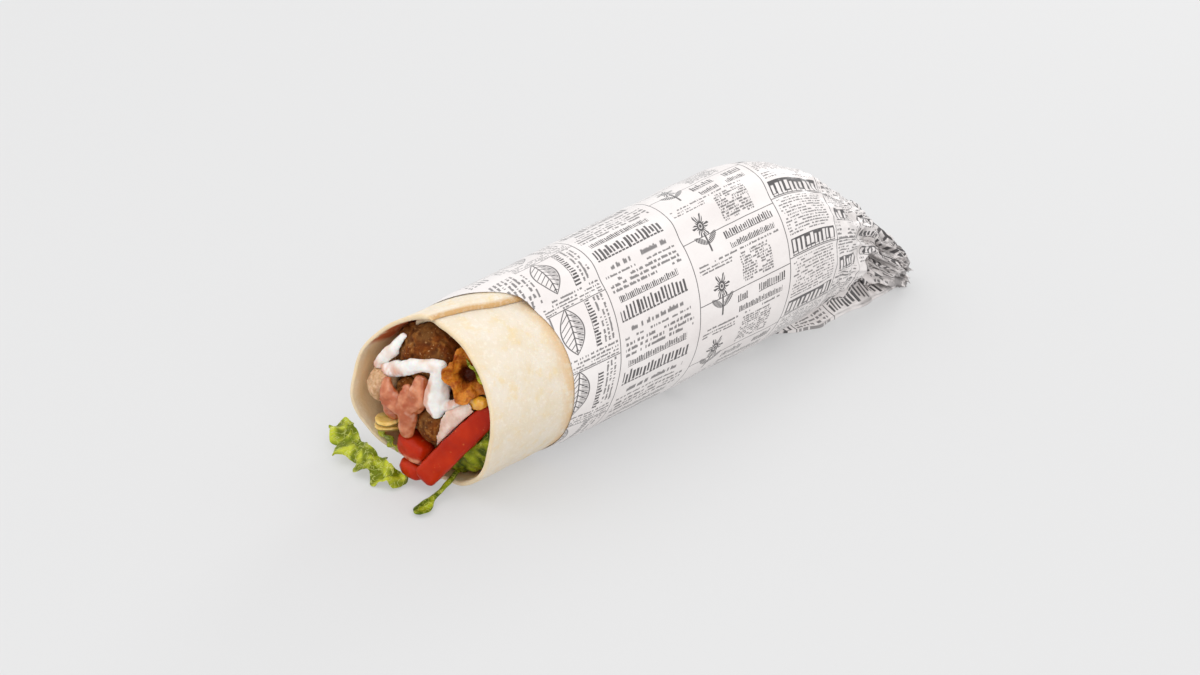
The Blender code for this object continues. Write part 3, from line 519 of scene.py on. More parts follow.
white = Finish(
    "white_sauce",
    Roughness=0.22,
    Specular_IOR_Level=0.45,
    Subsurface_Weight=0.2,
    Subsurface_Scale=0.002,
)
tint = white.mix((0.80, 0.79, 0.76), (0.72, 0.58, 0.50), white.patches(0.56, 0.24, 5.0, 2.0, 0.5))
white.paint(white.mix(tint, (0.62, 0.27, 0.16), white.mark("tinge")))
pink = Finish(
    "pink_sauce",
    Roughness=0.2,
    Specular_IOR_Level=0.5,
    Coat_Weight=0.25,
    Subsurface_Weight=0.15,
    Subsurface_Scale=0.002,
)
tint = pink.mix((0.40, 0.095, 0.028), (0.62, 0.24, 0.115), pink.patches(0.52, 0.24, 3.6, 2.0, 0.5))
tint = pink.mix(tint, (0.38, 0.07, 0.018), pink.patches(0.57, 0.2, 3.0, 2.0, 0.5, 4.0) * 0.7)
pink.paint(pink.mix(tint, (0.78, 0.58, 0.44), pink.patches(0.66, 0.14, 3.4, 2.0, 0.5, 9.0) * 0.3))
for name, finish, slot in (
    ("white_sauce", white, "white_sauce"),
    ("white_sauce_stripe", white, "white_sauce"),
    ("pink_sauce", pink, "pink_sauce"),
):
    pour = fine_copy(name, 0.32, 8)
    raise_relief(pour, lambda at: 0.2 + 0.35 * noise.noise(at * 0.32) + 0.12 * noise.noise(at * 0.9))
    tinges = []
    for vertex, normal in zip(pour.vertices, pour.vertex_normals):
        tinges.append(tinge_at(own_place(vertex.co).z, normal.vector))
    add_mark(pour, "tinge", tinges)
    add_piece(name + "_pour", pour, finish, name, slot)

# Flatbread
# A soft wheat flatbread, baked on a hot plate and rolled a little more than once round the
# filling. Its free edge lies on top, a little browned and wavy, and the rest is pale with faint spots.
BREAD_THICK = 1.9
PAPER_THICK = 0.8
GAP = 0.35
AXIS_HEIGHT = 31.4
# The log is a little slimmer and moved aside at its mouth
MOUTH_X = -95.0
BREAD_SWELL = 1.1
MOUTH_SHIFT = (0.5, 0.3)
# Angles go round the wrap's axis in degrees: 0 the far side, 90 the top, 180 the near side.
# The bread is followed from its free edge by the degrees turned, and on past its own start.
BREAD_TURN = 384.0
SEAM_AT_MOUTH = 83.0
SEAM_BEHIND = 104.0
MM_PER_DEGREE = 0.55
BREAD_COLUMNS = 300
MOUTH_FLARE = 1.6
FLARE_AT = 32.0
RIM_ROUND = 0.55
# Where the rim of the mouth lies along the wrap, as (angle, x)
RIM = (
    (-180.0, -95.9),
    (-148.0, -96.3),
    (-118.0, -93.6),
    (-92.0, -92.4),
    (-62.0, -95.6),
    (-36.0, -101.6),
    (-8.0, -105.0),
    (20.0, -101.4),
    (48.0, -96.0),
    (84.0, -91.2),
    (116.0, -91.8),
    (150.0, -93.5),
)
# Sections of the log and of the tail that the paper is gathered into, as
# (x, centre y, centre z, half width, half height)
GATHER = (
    (40.0, 0.0, 31.4, 31.8, 31.8),
    (62.0, -0.5, 31.2, 31.0, 30.8),
    (76.0, -2.2, 29.6, 27.6, 27.0),
    (88.0, -4.4, 26.4, 23.0, 22.6),
    (98.0, -6.8, 22.6, 17.4, 17.4),
    (104.0, -8.2, 19.6, 12.2, 12.2),
    (107.0, -9.0, 16.4, 12.0, 12.0),
    (112.0, -10.5, 12.6, 14.0, 11.6),
    (118.0, -13.5, 8.4, 12.0, 7.9),
    (122.0, -15.5, 5.4, 8.0, 4.4),
)


def between(low, high, share):
    """The value a share of the way from low to high."""
    return low + (high - low) * share


def curve_between(before, start, end, after, at, column):
    """A column's value between two rows, on a smooth curve that also heeds the rows beside them."""
    reach = end[0] - start[0]
    share = (at - start[0]) / reach
    slope_in = (end[column] - before[column]) / (end[0] - before[0])
    slope_out = (after[column] - start[column]) / (after[0] - start[0])
    value = (2 * share**3 - 3 * share**2 + 1) * start[column]
    value += (share**3 - 2 * share**2 + share) * reach * slope_in
    value += (3 * share**2 - 2 * share**3) * end[column]
    return value + (share**3 - share**2) * reach * slope_out


def round_table(table, angle):
    """Reads a table of (angle, value) that goes once round, on a smooth curve."""
    angle = (angle + 180.0) % 360.0 - 180.0
    count = len(table)
    rows = [(table[i % count][0] + 360.0 * (i // count), table[i % count][1]) for i in range(-1, count + 2)]
    here = next(i for i in range(1, count + 1) if angle <= rows[i + 1][0])
    return curve_between(rows[here - 1], rows[here], rows[here + 1], rows[here + 2], angle, 1)


def section_at(x):
    """Centre and half sizes of the bread's outside at x, without its waves."""
    rows = GATHER
    shell = PAPER_THICK + GAP
    if x <= rows[0][0]:
        slimmer = 1.0 - clamp((x - MOUTH_X) / (rows[0][0] - MOUTH_X))
        radius = rows[0][3] - BREAD_SWELL * slimmer - shell
        return (MOUTH_SHIFT[0] * slimmer, AXIS_HEIGHT + MOUTH_SHIFT[1] * slimmer, radius, radius)
    last = len(rows) - 1
    here = next((i for i in range(last) if x <= rows[i + 1][0]), last - 1)
    near = (rows[max(here - 1, 0)], rows[here], rows[here + 1], rows[min(here + 2, last)])
    centre_y, centre_z, half_width, half_height = (curve_between(*near, x, column) for column in range(1, 5))
    return centre_y, centre_z, half_width - shell, half_height - shell


def seam_angle(x):
    """Where the free edge lies round the axis: it runs a little askew near the mouth."""
    return between(SEAM_AT_MOUTH, SEAM_BEHIND, smooth((x - MOUTH_X) / 36.0))


def seam_lift(turned):
    """How far the bread stands out where it lies on its own start."""
    return (BREAD_THICK + GAP) * (1.0 - smooth(turned / 46.0))


def rim_at(turned):
    """Where the rim lies along the wrap: it runs uneven, and the hidden start lies further in."""
    rim = round_table(RIM, seam_angle(MOUTH_X + 3.0) - turned)
    rim += 0.35 * noise.noise(Vector((turned * 0.06, 8.0, 0.0)))
    return rim + 5.0 * smooth((turned - 350.0) / 30.0)


def bread_lift(x, turned, angle):
    """How far the bread stands out from its plain section: its lap, waves, flared mouth and dents."""
    lift = seam_lift(turned) if turned < 360.0 else seam_lift(turned - 360.0) - BREAD_THICK - GAP
    wavy = smooth((-70.0 - x) / 25.0)
    lift += 0.5 * wavy * noise.noise(Vector((x * 0.05, turned * 0.045, 3.0)))
    lift -= 0.28 * wavy * (1.0 - smooth(turned / 14.0))
    lift += MOUTH_FLARE * smooth((-84.0 - x) / 20.0) * math.exp(-(((angle - FLARE_AT) / 30.0) ** 2))
    arc = turned * MM_PER_DEGREE
    dents = 0.16 * noise.noise(Vector((x * 0.16, arc * 0.10, 5.0)))
    dents += 0.07 * noise.noise(Vector((x * 0.5, arc * 0.35, 9.0)))
    return lift + dents * smooth((-52.0 - x) / 8.0)


def bread_point(x, turned, inside):
    """A point of the sheet, from its outer face at inside 0 to its inner face at inside 1."""
    angle = seam_angle(x) - turned
    angle += 1.5 * noise.noise(Vector((x * 0.11, 2.0, 0.0))) * math.exp(-turned / 9.0)
    turn = math.radians(angle)
    thick = BREAD_THICK * (1.0 - 0.35 * smooth((-88.0 - x) / 12.0))
    from_edge = clamp(min(turned, BREAD_TURN - turned) / 1.4)
    rounded = math.sqrt(1.0 - (1.0 - from_edge) ** 2) * between(0.6, 1.0, smooth(turned / 7.0))
    deep = bread_lift(x, turned, angle) - thick * (1.0 - rounded * (1.0 - inside))
    centre_y, centre_z, half_width, half_height = section_at(x)
    y = centre_y + (half_width + deep) * math.cos(turn)
    z = centre_z + (half_height + deep) * math.sin(turn)
    ground = TABLE + (PAPER_THICK + GAP) * smooth((x + 82.0) / 18.0) + thick * inside
    return (x, y, max(z, ground))


def bread_rows():
    """Rows down the inner face, round the rim and back, as (distance behind the rim, x, inside)."""
    behind = [0.9, 1.3, 1.8, 2.4, 3.1, 3.9, 4.8]
    while behind[-1] < 48.0:
        behind.append(behind[-1] + 1.25)
    log = (-30.0, -8.0, 40.0, 62.0, BREAD_END_X)
    rows = [(None, x, 0.0) for x in reversed(log)]
    rows += [(back, None, 0.0) for back in reversed(behind)]
    for step in range(9):
        turn = math.pi * step / 8
        rows.append((RIM_ROUND * (1.0 - math.sin(turn)), None, 0.5 - 0.5 * math.cos(turn)))
    rows += [(back, None, 1.0) for back in behind[:-8]]
    rows += [(None, x, 1.0) for x in log]
    return rows


def bread_turns():
    """Degrees from the free edge to the hidden one, closer together at both edges."""
    fine = [0.0, 0.12, 0.4, 0.8, 1.3]
    even = np.linspace(2.0, BREAD_TURN - 2.0, BREAD_COLUMNS - 2 * len(fine))
    return fine + even.tolist() + [BREAD_TURN - turned for turned in reversed(fine)]


def grid_mesh(name, points, rows, columns, closed, marks):
    """A mesh over a grid of points in the wrap's millimetres, with marks by name."""
    index = np.arange(rows * columns).reshape(rows, columns)
    ahead = np.roll(index, -1, axis=1) if closed else index[:, 1:]
    here = index if closed else index[:, :-1]
    faces = np.stack([here[:-1], ahead[:-1], ahead[1:], here[1:]], axis=-1).reshape(-1, 4)
    mesh = bpy.data.meshes.new(name)
    placed = np.asarray(points, float) * MM + np.array(SHIFT)
    mesh.from_pydata(placed.tolist(), [], faces.tolist())
    for mark, values in marks.items():
        add_mark(mesh, mark, values)
    return mesh


def bread_mesh():
    """The sheet with marks that say where each point lies on it."""
    points = []
    marks = {"turned": [], "behind": [], "inside": [], "along": []}
    rows = bread_rows()
    for back, log_x, inside in rows:
        for turned in bread_turns():
            rim = rim_at(turned)
            x = log_x if back is None else rim + back
            points.append(bread_point(x, turned, inside))
            marks["turned"].append(turned)
            marks["behind"].append(x - rim)
            marks["inside"].append(inside)
            marks["along"].append(x)
    return grid_mesh("bread", points, len(rows), BREAD_COLUMNS, False, marks)


bread = Finish(
    "bread",
    Roughness=0.62,
    Subsurface_Weight=0.12,
    Subsurface_Radius=(1.0, 0.55, 0.3),
    Subsurface_Scale=0.004,
)
# Pale with cloudy, yellow and white spots, browned at the free edge, the rim and beside the paper, and with
# painted shade on the inner face further into the mouth
turned = bread.mark("turned")
behind = bread.mark("behind")
inside = bread.mark("inside")
cloudy = bread.grain(9.0, 3.0, 0.6)
spots = bread.grain(5.0, 4.0, 0.6, 3.0)
fine = bread.grain(1.3, 3.0, 0.6, 6.0)
tint = bread.mix((0.735, 0.655, 0.545), (0.71, 0.60, 0.44), cloudy.over(0.52, 0.3))
tint = bread.mix(tint, (0.74, 0.57, 0.30), spots.over(0.60, 0.14) * 0.6)
tint = bread.mix(tint, (0.83, 0.77, 0.68), fine.over(0.58, 0.1) * 0.35)
tint = bread.mix(tint, (0.56, 0.33, 0.13), turned.under(2.6, 2.5) * fine.over(0.30, 0.5))
tint = bread.mix(tint, (0.74, 0.56, 0.32), behind.under(0.9, 1.6) * 0.55)
# Painted shade: the inner face is painted tan from a little behind the rim inwards.
deeper = inside.over(0.5, 0.5) * behind.over(2.0, 4.0)
near_paper = bread.mark("along").over(-61.5, 5.0) * bread.patches(0.42, 0.16, 6.0, 3.0, 0.6, 14.0)
tint = bread.mix(tint, (0.66, 0.42, 0.20), near_paper * 0.75)
tint = bread.mix(tint, (0.78, 0.53, 0.26), deeper * 0.8)
# A smear of chilli sauce just inside the rim, near the free edge
smear = turned.over(9.0, 5.0) * turned.under(52.0, 6.0) * behind.over(0.8, 1.0) * behind.under(10.0, 5.0)
smear = smear * inside.over(0.5, 0.5) * bread.patches(0.36, 0.16, 4.0, 3.0, 0.6, 12.0)
tint = bread.mix(tint, (0.54, 0.12, 0.03), smear)
bread.paint(tint)
bread.bumps(bread.grain(0.9, 4.0, 0.6, 9.0) + cloudy * 2.2 + spots * 1.2, 0.2)
add_piece("bread_sheet", bread_mesh(), bread, "flatbread", "bread")

# Paper wrapper
# Greaseproof paper with a slight sheen, rolled round the bread, pleated behind it and crumpled
# into a tail. It is printed all over in dark grey with columns of bars, rules and plain ornaments.

# Where its front edge lies, as (angle, x)
PAPER_EDGE = (
    (-180.0, -58.0),
    (-110.0, -61.0),
    (-50.0, -68.0),
    (0.0, -74.0),
    (55.0, -77.0),
    (80.0, -70.0),
    (105.0, -61.5),
    (140.0, -57.5),
)
# The flap is where the sheet leaves the log underneath, near the tail, and spreads on the table
FLAP_FROM_ANGLE = -108.0
FLAP_TO_ANGLE = -120.0
PAPER_COLUMNS = 270
FLAP_COLUMNS = 26
CAVITY_END = 78.0
PAPER_SAG = 0.5
TAIL_LEAN = 4.0
HUG_LENGTH = 9.0
FLAP_WIDTH = 8.0
FLAT_PER_DEGREE = 0.5707
EDGE_ROWS = (0.0, 0.5, 1.2, 2.5, 4.5, 7.0, 10.0)
LINING_ROWS = (12.0, 6.0, 3.0, 1.0, 0.1)
LOG_ROWS_FROM = -43.5
FINE_ROWS_FROM = 70.0
TIP_X = 121.0
TUCK_STEPS = (0.25, 0.5, 0.75, 0.97)


def ridge(turns):
    """A sharp fold: 1 at whole turns, -1 half-way between them."""
    return abs((turns % 1.0) * 2.0 - 1.0) * 2.0 - 1.0


def paper_over(x, angle):
    """How far the paper's outside stands from the bread's nominal outside."""
    turned = (seam_angle(x) - angle + 40.0) % 360.0 - 40.0
    if turned < 0.0:
        over_seam = (BREAD_THICK + GAP) * smooth(1.0 + turned / 16.0)
    else:
        over_seam = seam_lift(turned)
    return over_seam * (1.0 - smooth((x - CAVITY_END) / 16.0)) + GAP + PAPER_THICK


def pleats(x, angle):
    """How much the gathered paper folds in and out, as a factor on its radius."""
    strength = 0.24 * smooth((x - 74.0) / 32.0)
    twist = (x - 80.0) / 60.0
    large = ridge(angle / 360.0 * 7.0 + twist)
    small = ridge(angle / 360.0 * 13.0 - twist * 1.7 + 0.3)
    uneven = 0.6 + 0.8 * noise.noise(Vector((angle * 0.02, x * 0.04, 7.0)))
    return 1.0 + strength * uneven * (0.65 * large + 0.45 * small - 0.35)


# Layers of creases in the tail, from wide to fine, as (weight, level, fineness, start)
FOLDS = ((1.0, 0.9, 1.3, (0, 0, 0)), (0.6, 1.0, 2.5, (3, 1, 2)), (0.12, 1.0, 6.7, (1, 4, 2)))


def crumple(x, angle):
    """Creases in the paper in millimetres: faint along the log, deep in the tail."""
    turn = math.radians(angle)
    spot = Vector((x * 0.05, math.cos(turn) * 1.3, math.sin(turn) * 1.3))
    faint = 0.35 * noise.noise(spot * 1.6) + 0.12 * noise.noise(spot * 5.0)
    near_tail = 0.35 * smooth((x - 62.0) / 24.0) + 0.65 * smooth((x - 88.0) / 18.0)
    spot = Vector((x * 0.09, math.cos(turn) * 2.1, math.sin(turn) * 2.1))
    folds = 0.0
    for weight, level, fineness, start in FOLDS:
        folds += weight * (level - abs(noise.noise(spot * fineness + Vector(start))) * 4.0)
    return faint * smooth((x + 62.0) / 14.0) + near_tail * 1.8 * folds


def paper_ring_point(x, angle, edge_x):
    """A point of the paper's outside: near its front edge it hugs the bread, and it rests on the table."""
    centre_y, centre_z, half_width, half_height = section_at(x)
    turn = math.radians(angle)
    over = paper_over(x, angle)
    hug = 1.0 - smooth((x - edge_x) / HUG_LENGTH)
    over -= (PAPER_THICK + GAP - 0.42) * hug
    fold = pleats(x, angle)
    deep = crumple(x, angle)
    y = centre_y + ((half_width + over) * fold + deep) * math.cos(turn)
    z = centre_z + ((half_height + over) * fold + deep) * math.sin(turn)
    lean = TAIL_LEAN * smooth((x - 96.0) / 10.0) * smooth((116.0 - x) / 14.0) * math.sin(turn)
    above = z - TABLE
    above = max(min(above, (above - PAPER_SAG) * 2.0), 0.02)
    return (x + lean, y, TABLE + above)


def paper_ring(x, from_edge=None):
    """One ring of the paper's outside, as (point, place round the flat sheet)."""
    ring = []
    span = 360.0 - (FLAP_FROM_ANGLE - FLAP_TO_ANGLE)
    for side in range(PAPER_COLUMNS):
        angle = FLAP_TO_ANGLE - span * side / (PAPER_COLUMNS - 1)
        edge_x = round_table(PAPER_EDGE, angle)
        here = x if from_edge is None else edge_x + from_edge
        ring.append((paper_ring_point(max(here, edge_x), angle, edge_x), -angle * FLAT_PER_DEGREE))
    spread = smooth((x - 50.0) / 18.0)
    wander = 1.2 * noise.noise(Vector((x * 0.16, 0.5, 0.0)))
    tip_y = -14.0 - 7.5 * smooth((x - 55.0) / 22.0) + wander
    bend = 0.5 + 0.5 * noise.noise(Vector((x * 0.22, 4.0, 0.0)))
    for point in range(1, FLAP_COLUMNS - 1):
        share = point / (FLAP_COLUMNS - 1)
        angle = between(FLAP_FROM_ANGLE, FLAP_TO_ANGLE, share)
        edge_x = round_table(PAPER_EDGE, angle)
        here = x if from_edge is None else edge_x + from_edge
        base = Vector(paper_ring_point(max(here, edge_x), angle, edge_x))
        reach = clamp(2.25 * (0.5 - abs(share - 0.5)) * 2.0 - 0.25)
        upper = smooth((share - 0.42) / 0.16)
        tip = Vector((here, tip_y, TABLE + 0.02 + upper * (0.7 + 0.9 * reach * bend)))
        flat = -FLAP_TO_ANGLE * FLAT_PER_DEGREE + reach * spread * FLAP_WIDTH
        ring.append((tuple(base.lerp(tip, reach * spread)), flat))
    return ring


def paper_rings():
    """Rings from the front edge to the tip, closer together in the tail."""
    rings = [paper_ring(-55.0, from_edge) for from_edge in EDGE_ROWS]
    x = LOG_ROWS_FROM
    while x < TIP_X - 0.1:
        rings.append(paper_ring(x))
        x += 1.5 if x < FINE_ROWS_FROM else 0.75
    return rings + [paper_ring(TIP_X)]


def tucked_tip(last):
    """Rings that close the tip: the crumpled end is pushed back into itself."""
    middle = last.mean(axis=0)
    tucked = middle + np.array((-3.5, 0.0, 1.0))
    for share in TUCK_STEPS:
        for place in last:
            point = place * (1.0 - share) + tucked * share
            point[0] += -1.5 * share + 0.8 * noise.noise(Vector(point) * 0.4)
            yield tuple(point), point[0] + 8.0 * share


def front_lining(front):
    """Rings inside the front edge, so that its thickness shows where the bread comes out."""
    for depth in LINING_ROWS:
        for edge_x, y, z in front:
            angle = math.degrees(math.atan2(z - AXIS_HEIGHT, y))
            x = edge_x + depth
            centre_y, centre_z, half_width, half_height = section_at(x)
            turn = math.radians(angle)
            out = paper_over(x, angle) - PAPER_THICK - GAP + 0.2
            z = centre_z + (half_height + out) * math.sin(turn)
            yield (x, centre_y + (half_width + out) * math.cos(turn), max(z, TABLE + 0.01))


def paper_mesh():
    """The sheet with its places on the flat sheet as the marks along and around, for the print."""
    rings = paper_rings()
    columns = len(rings[0])
    points = [point for ring in rings for point, _ in ring]
    around = [flat for ring in rings for _, flat in ring]
    along = [point[0] for point in points]
    for point, place in tucked_tip(np.array(points[-columns:])):
        points.append(point)
        along.append(place)
    around += around[:columns] * len(TUCK_STEPS)
    lining = list(front_lining(points[:columns]))
    points = lining + points
    along = [0.0] * len(lining) + along
    around = [0.0] * len(lining) + around
    creases = [crumple(x, -flat / FLAT_PER_DEGREE) for x, flat in zip(along, around)]
    marks = {"along": along, "around": around, "crease": creases}
    return grid_mesh("paper", points, len(points) // columns, columns, True, marks)


INK = (0.045, 0.04, 0.042)
PAPER_WHITE = (0.80, 0.76, 0.745)
TILE = 22.8
PRINT_SLANT = 0.22
PRINT_LEVEL_AT = 133.5
paper = Finish("paper", Roughness=0.34, Coat_Weight=0.35, Coat_Roughness=0.16)

# Places on the flat sheet in millimetres: sheet_x runs along the wrap, and tile_y up each tile,
# which repeats round the wrap with a number of its own.
around = paper.mark("around")
sheet_x = around * -PRINT_SLANT + (paper.mark("along") + PRINT_SLANT * PRINT_LEVEL_AT)
tile = (around / TILE).whole()
tile_y = (around / TILE).part() * TILE
half_tile = (around / TILE + 0.5).part() * TILE

# Zones of fine print along the wrap, as (x from, x to, y from, y to, line height, stroke, inked share)
FINE_ALONG = (
    (-58.0, -32.0, 20.6, 22.8, 1.1, 0.42, 0.6),
    (-58.0, -32.0, 0.0, 2.8, 1.4, 0.5, 0.6),
    (-25.0, 2.0, 2.4, 5.4, 3.0, 0.85, 0.62),
    (-28.5, 4.5, 17.2, 22.7, 1.85, 0.6, 0.66),
    (-28.5, 4.5, 0.2, 2.0, 1.8, 0.55, 0.5),
    (29.5, 44.5, 0.4, 10.8, 0.95, 0.36, 0.8),
    (10.0, 26.0, 9.0, 11.2, 1.1, 0.42, 0.6),
    (10.0, 50.0, 11.4, 12.8, 1.4, 0.5, 0.6),
    (54.5, 77.0, 7.8, 22.2, 1.15, 0.36, 0.58),
    (80.0, 94.0, 16.0, 22.8, 1.4, 0.45, 0.6),
    (80.0, 94.0, 0.0, 8.2, 1.9, 0.6, 0.6),
    (97.0, 124.0, 18.6, 22.8, 1.4, 0.45, 0.6),
    (97.0, 124.0, 8.2, 11.4, 1.6, 0.45, 0.6),
)
FINE_ROUND = (
    (-37.8, -32.6, 3.6, 20.0, 1.7, 0.5, 0.6),
    (-75.0, -56.8, 3.0, 20.2, 1.9, 0.5, 0.6),
)
# Rows of bold bars, as (x from, x to, y from, y to, height, pitch, 1 where pale on a dark band)
BARS_ALONG = (
    (-28.5, 3.0, 6.6, 12.6, 6.0, 1.7, 0.0),
    (-27.0, 1.0, 13.3, 16.2, 2.9, 0.85, 0.0),
    (26.0, 50.0, 17.0, 20.6, 3.6, 1.05, 0.0),
    (27.0, 49.0, 13.2, 15.8, 2.6, 0.8, 0.0),
    (54.5, 78.0, 0.8, 6.8, 6.0, 2.3, 1.0),
    (81.0, 92.0, 9.0, 15.0, 6.0, 2.0, 1.0),
    (97.0, 122.0, 2.0, 7.6, 5.6, 1.7, 0.0),
    (98.0, 120.0, 12.0, 18.0, 6.0, 2.4, 1.0),
)
BARS_ROUND = ((-41.6, -38.4, 3.4, 20.0, 3.2, 1.15, 0.0),)
# Thin rules round the wrap at x, and along it as (x from, x to, y)
RULES_ROUND = (-31.0, 7.8, 52.8, 79.2, 95.6)
RULES_ALONG = ((-58.0, -31.0, 20.4), (7.8, 52.8, 21.8), (52.8, 95.6, 0.4))
RULE_HALF = 0.2
# The ornaments' middles and half sizes
LEAF_AT = (-50.0, 12.2)
LEAF_HALF = (5.2, 8.6)
FLOWER_AT = (18.6, 11.6)
FLOWER_HALF = (6.4, 7.6)


def dice(*numbers):
    """A random number from 0 to 1 that is the same wherever the numbers are the same."""
    join = paper.tree.nodes.new("ShaderNodeCombineXYZ")
    for slot, value in zip(join.inputs, numbers):
        if isinstance(value, Field):
            paper.tree.links.new(value.socket, slot)
        else:
            slot.default_value = value
    node = paper.tree.nodes.new("ShaderNodeTexWhiteNoise")
    paper.tree.links.new(join.outputs[0], node.inputs["Vector"])
    return Field(paper.tree, node.outputs["Value"])


def stretch(place, start, end):
    """1 where a place lies between a start and an end."""
    return place.math("COMPARE", (start + end) / 2.0, (end - start) / 2.0)


def zone(x_from, x_to, y_from, y_to):
    """1 inside a rectangle of the flat sheet."""
    return stretch(sheet_x, x_from, x_to) * stretch(tile_y, y_from, y_to)


def zoned(table, start_column):
    """Fields that hold 1 inside the zones, and each zone's three values and the start of its rows."""
    totals = None
    for row in table:
        here = zone(*row[:4])
        values = (1.0, *row[4:], row[start_column])
        if totals is None:
            totals = [here * value for value in values]
        else:
            totals = [here.math("MULTIPLY_ADD", value, total) for value, total in zip(values, totals)]
    return totals


def fine_print(table, onward, up, start_column):
    """Rows of short strokes that read as small print from afar."""
    inside, height, stroke, fill, start = zoned(table, start_column)
    cell = (onward / stroke.most(0.1)).whole()
    lines = (up - start) / height.most(0.1)
    row = lines.whole() + tile * 19.0
    level = lines.part()
    tall = dice(cell, row, start + 0.3) * (fill * 0.4) + (fill * 0.1 + 0.5)
    marks = dice(cell, row, start).over(0.28) * level.over(fill * -0.5 + 0.5, 0.15)
    marks = marks * level.under(tall, 0.15)
    words = dice((cell / 6.0).whole(), row, start + 0.7).over(0.12)
    return inside * marks * words * 0.82


def bold_bars(table, onward, up, start_column):
    """Rows of upright bars of uneven width and height, dark or pale on a dark band."""
    inside, height, pitch, band, start = zoned(table, start_column)
    places = onward / pitch.most(0.1)
    cell = places.whole()
    level = (up - start) / height.most(0.1)
    wide = dice(cell, tile, start) * 0.3 + 0.42
    top = dice(cell, tile, start + 0.4) * 0.3 + 0.66
    low = dice(cell, tile, start + 0.8) * 0.22 + 0.06
    marks = places.part().under(wide, 0.12) * level.over(low, 0.06) * level.under(top, 0.06)
    feet = level.over(0.06, 0.04) * level.under(0.16, 0.04) * places.part().under(0.82, 0.1)
    words = dice((cell / 5.0).whole(), tile, start + 0.6).over(0.08)
    return inside * (marks.most(feet) * words - band).math("ABSOLUTE")


def leaf_ornament():
    """A pointed leaf with veins and a shaded half."""
    across = (sheet_x - LEAF_AT[0]) / LEAF_HALF[0]
    down = (tile_y - LEAF_AT[1]) / LEAF_HALF[1]
    side = across.math("ABSOLUTE")
    edge = side + down * down
    line = edge.under(1.0, 0.05) * edge.over(0.9, 0.05)
    rib = side.under(0.05, 0.03)
    veins = (down * 4.0 + side * 1.6).part().over(0.82, 0.08)
    shade = (down * 15.0 + across * 3.0).part().over(0.5, 0.2) * across.over(0.25, 0.1)
    return line.most(rib.most(veins).most(shade * 0.85) * edge.under(0.88, 0.1))


def flower_ornament():
    """A bold flower on a stem with two leaves, cut like an old block print."""
    across = (sheet_x - FLOWER_AT[0]) / FLOWER_HALF[0]
    down = (half_tile - FLOWER_AT[1]) / FLOWER_HALF[1]
    side = across.math("ABSOLUTE")
    rise = down - 0.36
    far = (across * across + rise * rise).math("SQRT")
    way = rise.math("ARCTAN2", across)
    petals = far.under((way * 6.0).math("COSINE") * 0.16 + 0.46, 0.04) * far.over(0.13, 0.03)
    cuts = (way * 18.0).math("SINE").over(-0.3, 0.5).most(far.under(0.24, 0.05))
    heart = far.under(0.09, 0.03)
    stem = side.under(0.06, 0.03) * down.under(0.0, 0.05) * down.over(-0.98, 0.05)
    leaf_side = (side - 0.42) / 0.4
    leaf_rise = (down + 0.55 - side * 0.5) / 0.17
    leaves = (leaf_side * leaf_side + leaf_rise * leaf_rise).under(1.0, 0.15)
    hatch = (side * 9.0 + down * 4.0).part().over(0.28, 0.2)
    return (petals * cuts).most(heart).most(stem).most(leaves * hatch)


ink = fine_print(FINE_ALONG, sheet_x, tile_y, 2)
ink = ink.most(fine_print(FINE_ROUND, tile_y, sheet_x, 0))
ink = ink.most(bold_bars(BARS_ALONG, sheet_x, tile_y, 2))
ink = ink.most(bold_bars(BARS_ROUND, tile_y, sheet_x, 0))
ink = ink.most(leaf_ornament())
ink = ink.most(flower_ornament())
for at in RULES_ROUND:
    ink = ink.most(stretch(sheet_x, at - RULE_HALF, at + RULE_HALF) * 0.9)
for start, end, at in RULES_ALONG:
    ink = ink.most(zone(start, end, at - 0.9 * RULE_HALF, at + 0.9 * RULE_HALF) * 0.85)
# The ink is worn in spots. In the tail the creases carry painted shade, and the crumpled tip has near-black
# blotches that are partly print in its folds and partly painted shade
worn = paper.patches(0.30, 0.2, 1.4, 3.0, 0.6, 2.0) * 0.45 + 0.52
cloudy = paper.patches(0.5, 0.3, 22.0, 3.0, 0.6, 4.0)
sheet = paper.mix(PAPER_WHITE, (0.74, 0.69, 0.675), cloudy)
in_tail = paper.mark("along").over(92.0, 36.0)
# Painted shade: the sheet is painted grey in the low parts of its creases in the tail.
folded = paper.mark("crease").under(-0.5, 1.2) * paper.mark("along").over(94.0, 16.0)
sheet = paper.mix(sheet, (0.40, 0.37, 0.36), folded * 0.7)
# Near-black blotches at the tip: partly print in the folds, partly painted shade in the crumpled end.
bunched = paper.mark("along").over(111.0, 10.0) * paper.patches(0.5, 0.1, 2.6, 3.0, 0.6, 11.0)
sheet = paper.mix(sheet, (0.09, 0.08, 0.08), bunched * 0.75)
paper.paint(paper.mix(sheet, INK, ink * worn))
wavy = paper.grain(14.0, 4.0, 0.55, 7.0) * (in_tail * 1.6 + 1.0)
paper.bumps(wavy + paper.grain(3.0, 3.0, 0.5, 8.0) * 0.3, 0.8)
add_piece("paper_sheet", paper_mesh(), paper, "paper_wrapper", "paper")

# Floor, light and camera
# A plain pale surface under one large soft light from the upper left, in a bright room. It glows a
# little, so that shadows stay as faint as in the photograph, whose viewpoint the camera has.
AZIMUTH = math.radians(-45.5)
ELEVATION = math.radians(30.0)
CAMERA_REACH = 1.5
CAMERA_LENS = 131.387
AIM = Vector((-22.1, -6.5, 30.7)) * MM + SHIFT
FLOOR_HALF = 4.0
FLOOR_Z = -0.0002
ROOM_LIGHT = 1.02

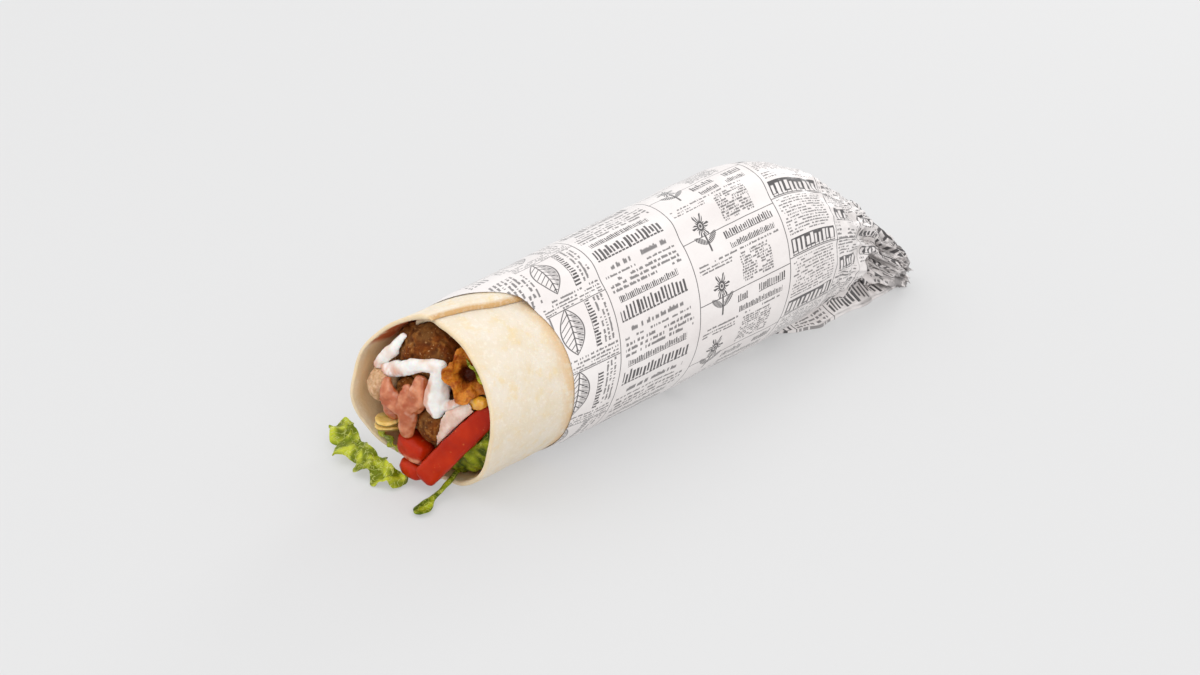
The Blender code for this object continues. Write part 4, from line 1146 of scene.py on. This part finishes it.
view_back = Vector(
    (
        math.sin(AZIMUTH) * math.cos(ELEVATION),
        -math.cos(AZIMUTH) * math.cos(ELEVATION),
        math.sin(ELEVATION),
    )
)
screen_left = Vector((-math.cos(AZIMUTH), -math.sin(AZIMUTH), 0.0))
upward = Vector((0.0, 0.0, 1.0))

camera = bpy.data.objects.new("camera", bpy.data.cameras.new("camera"))
camera.data.lens = CAMERA_LENS
camera.data.sensor_width = 36.0
camera.data.clip_start = 0.01
camera.location = AIM + view_back * CAMERA_REACH
camera.rotation_euler = view_back.to_track_quat("Z", "Y").to_euler()
bpy.context.scene.collection.objects.link(camera)
bpy.context.scene.camera = camera
bpy.context.scene.view_settings.view_transform = "Standard"

floor_finish = Finish("floor", Base_Color=(0.32, 0.32, 0.322, 1.0), Roughness=0.9, Emission_Strength=0.365)
corners = [(x * FLOOR_HALF, y * FLOOR_HALF, 0.0) for x, y in ((-1, -1), (1, -1), (1, 1), (-1, 1))]
surface = bpy.data.meshes.new("floor")
surface.from_pydata(corners, [], [(0, 1, 2, 3)])
surface.materials.append(floor_finish.material)
floor = bpy.data.objects.new("floor", surface)
floor.location.z = FLOOR_Z
bpy.context.scene.collection.objects.link(floor)

room = bpy.data.worlds.new("room")
room.use_nodes = True
room.node_tree.nodes["Background"].inputs["Color"].default_value = (1.0, 1.0, 1.0, 1.0)
room.node_tree.nodes["Background"].inputs["Strength"].default_value = ROOM_LIGHT
bpy.context.scene.world = room

# Square lamps, as (name, the way they stand in, distance and width in metres, watts)
for name, way, reach, width, power in (
    ("window", upward + screen_left * 0.75 + view_back * 0.3, 1.6, 1.0, 3.5),
    ("fill", upward * 0.45 - screen_left * 0.35 + view_back, 2.0, 1.6, 11.0),
    ("glint", Vector((0.92, 0.31, 0.34)), 1.2, 0.4, 3.0),
):
    lamp = bpy.data.lights.new(name, "AREA")
    lamp.shape = "SQUARE"
    lamp.size = width
    lamp.energy = power
    light = bpy.data.objects.new(name, lamp)
    light.location = AIM + way.normalized() * reach
    light.rotation_euler = way.to_track_quat("Z", "Y").to_euler()
    bpy.context.scene.collection.objects.link(light)
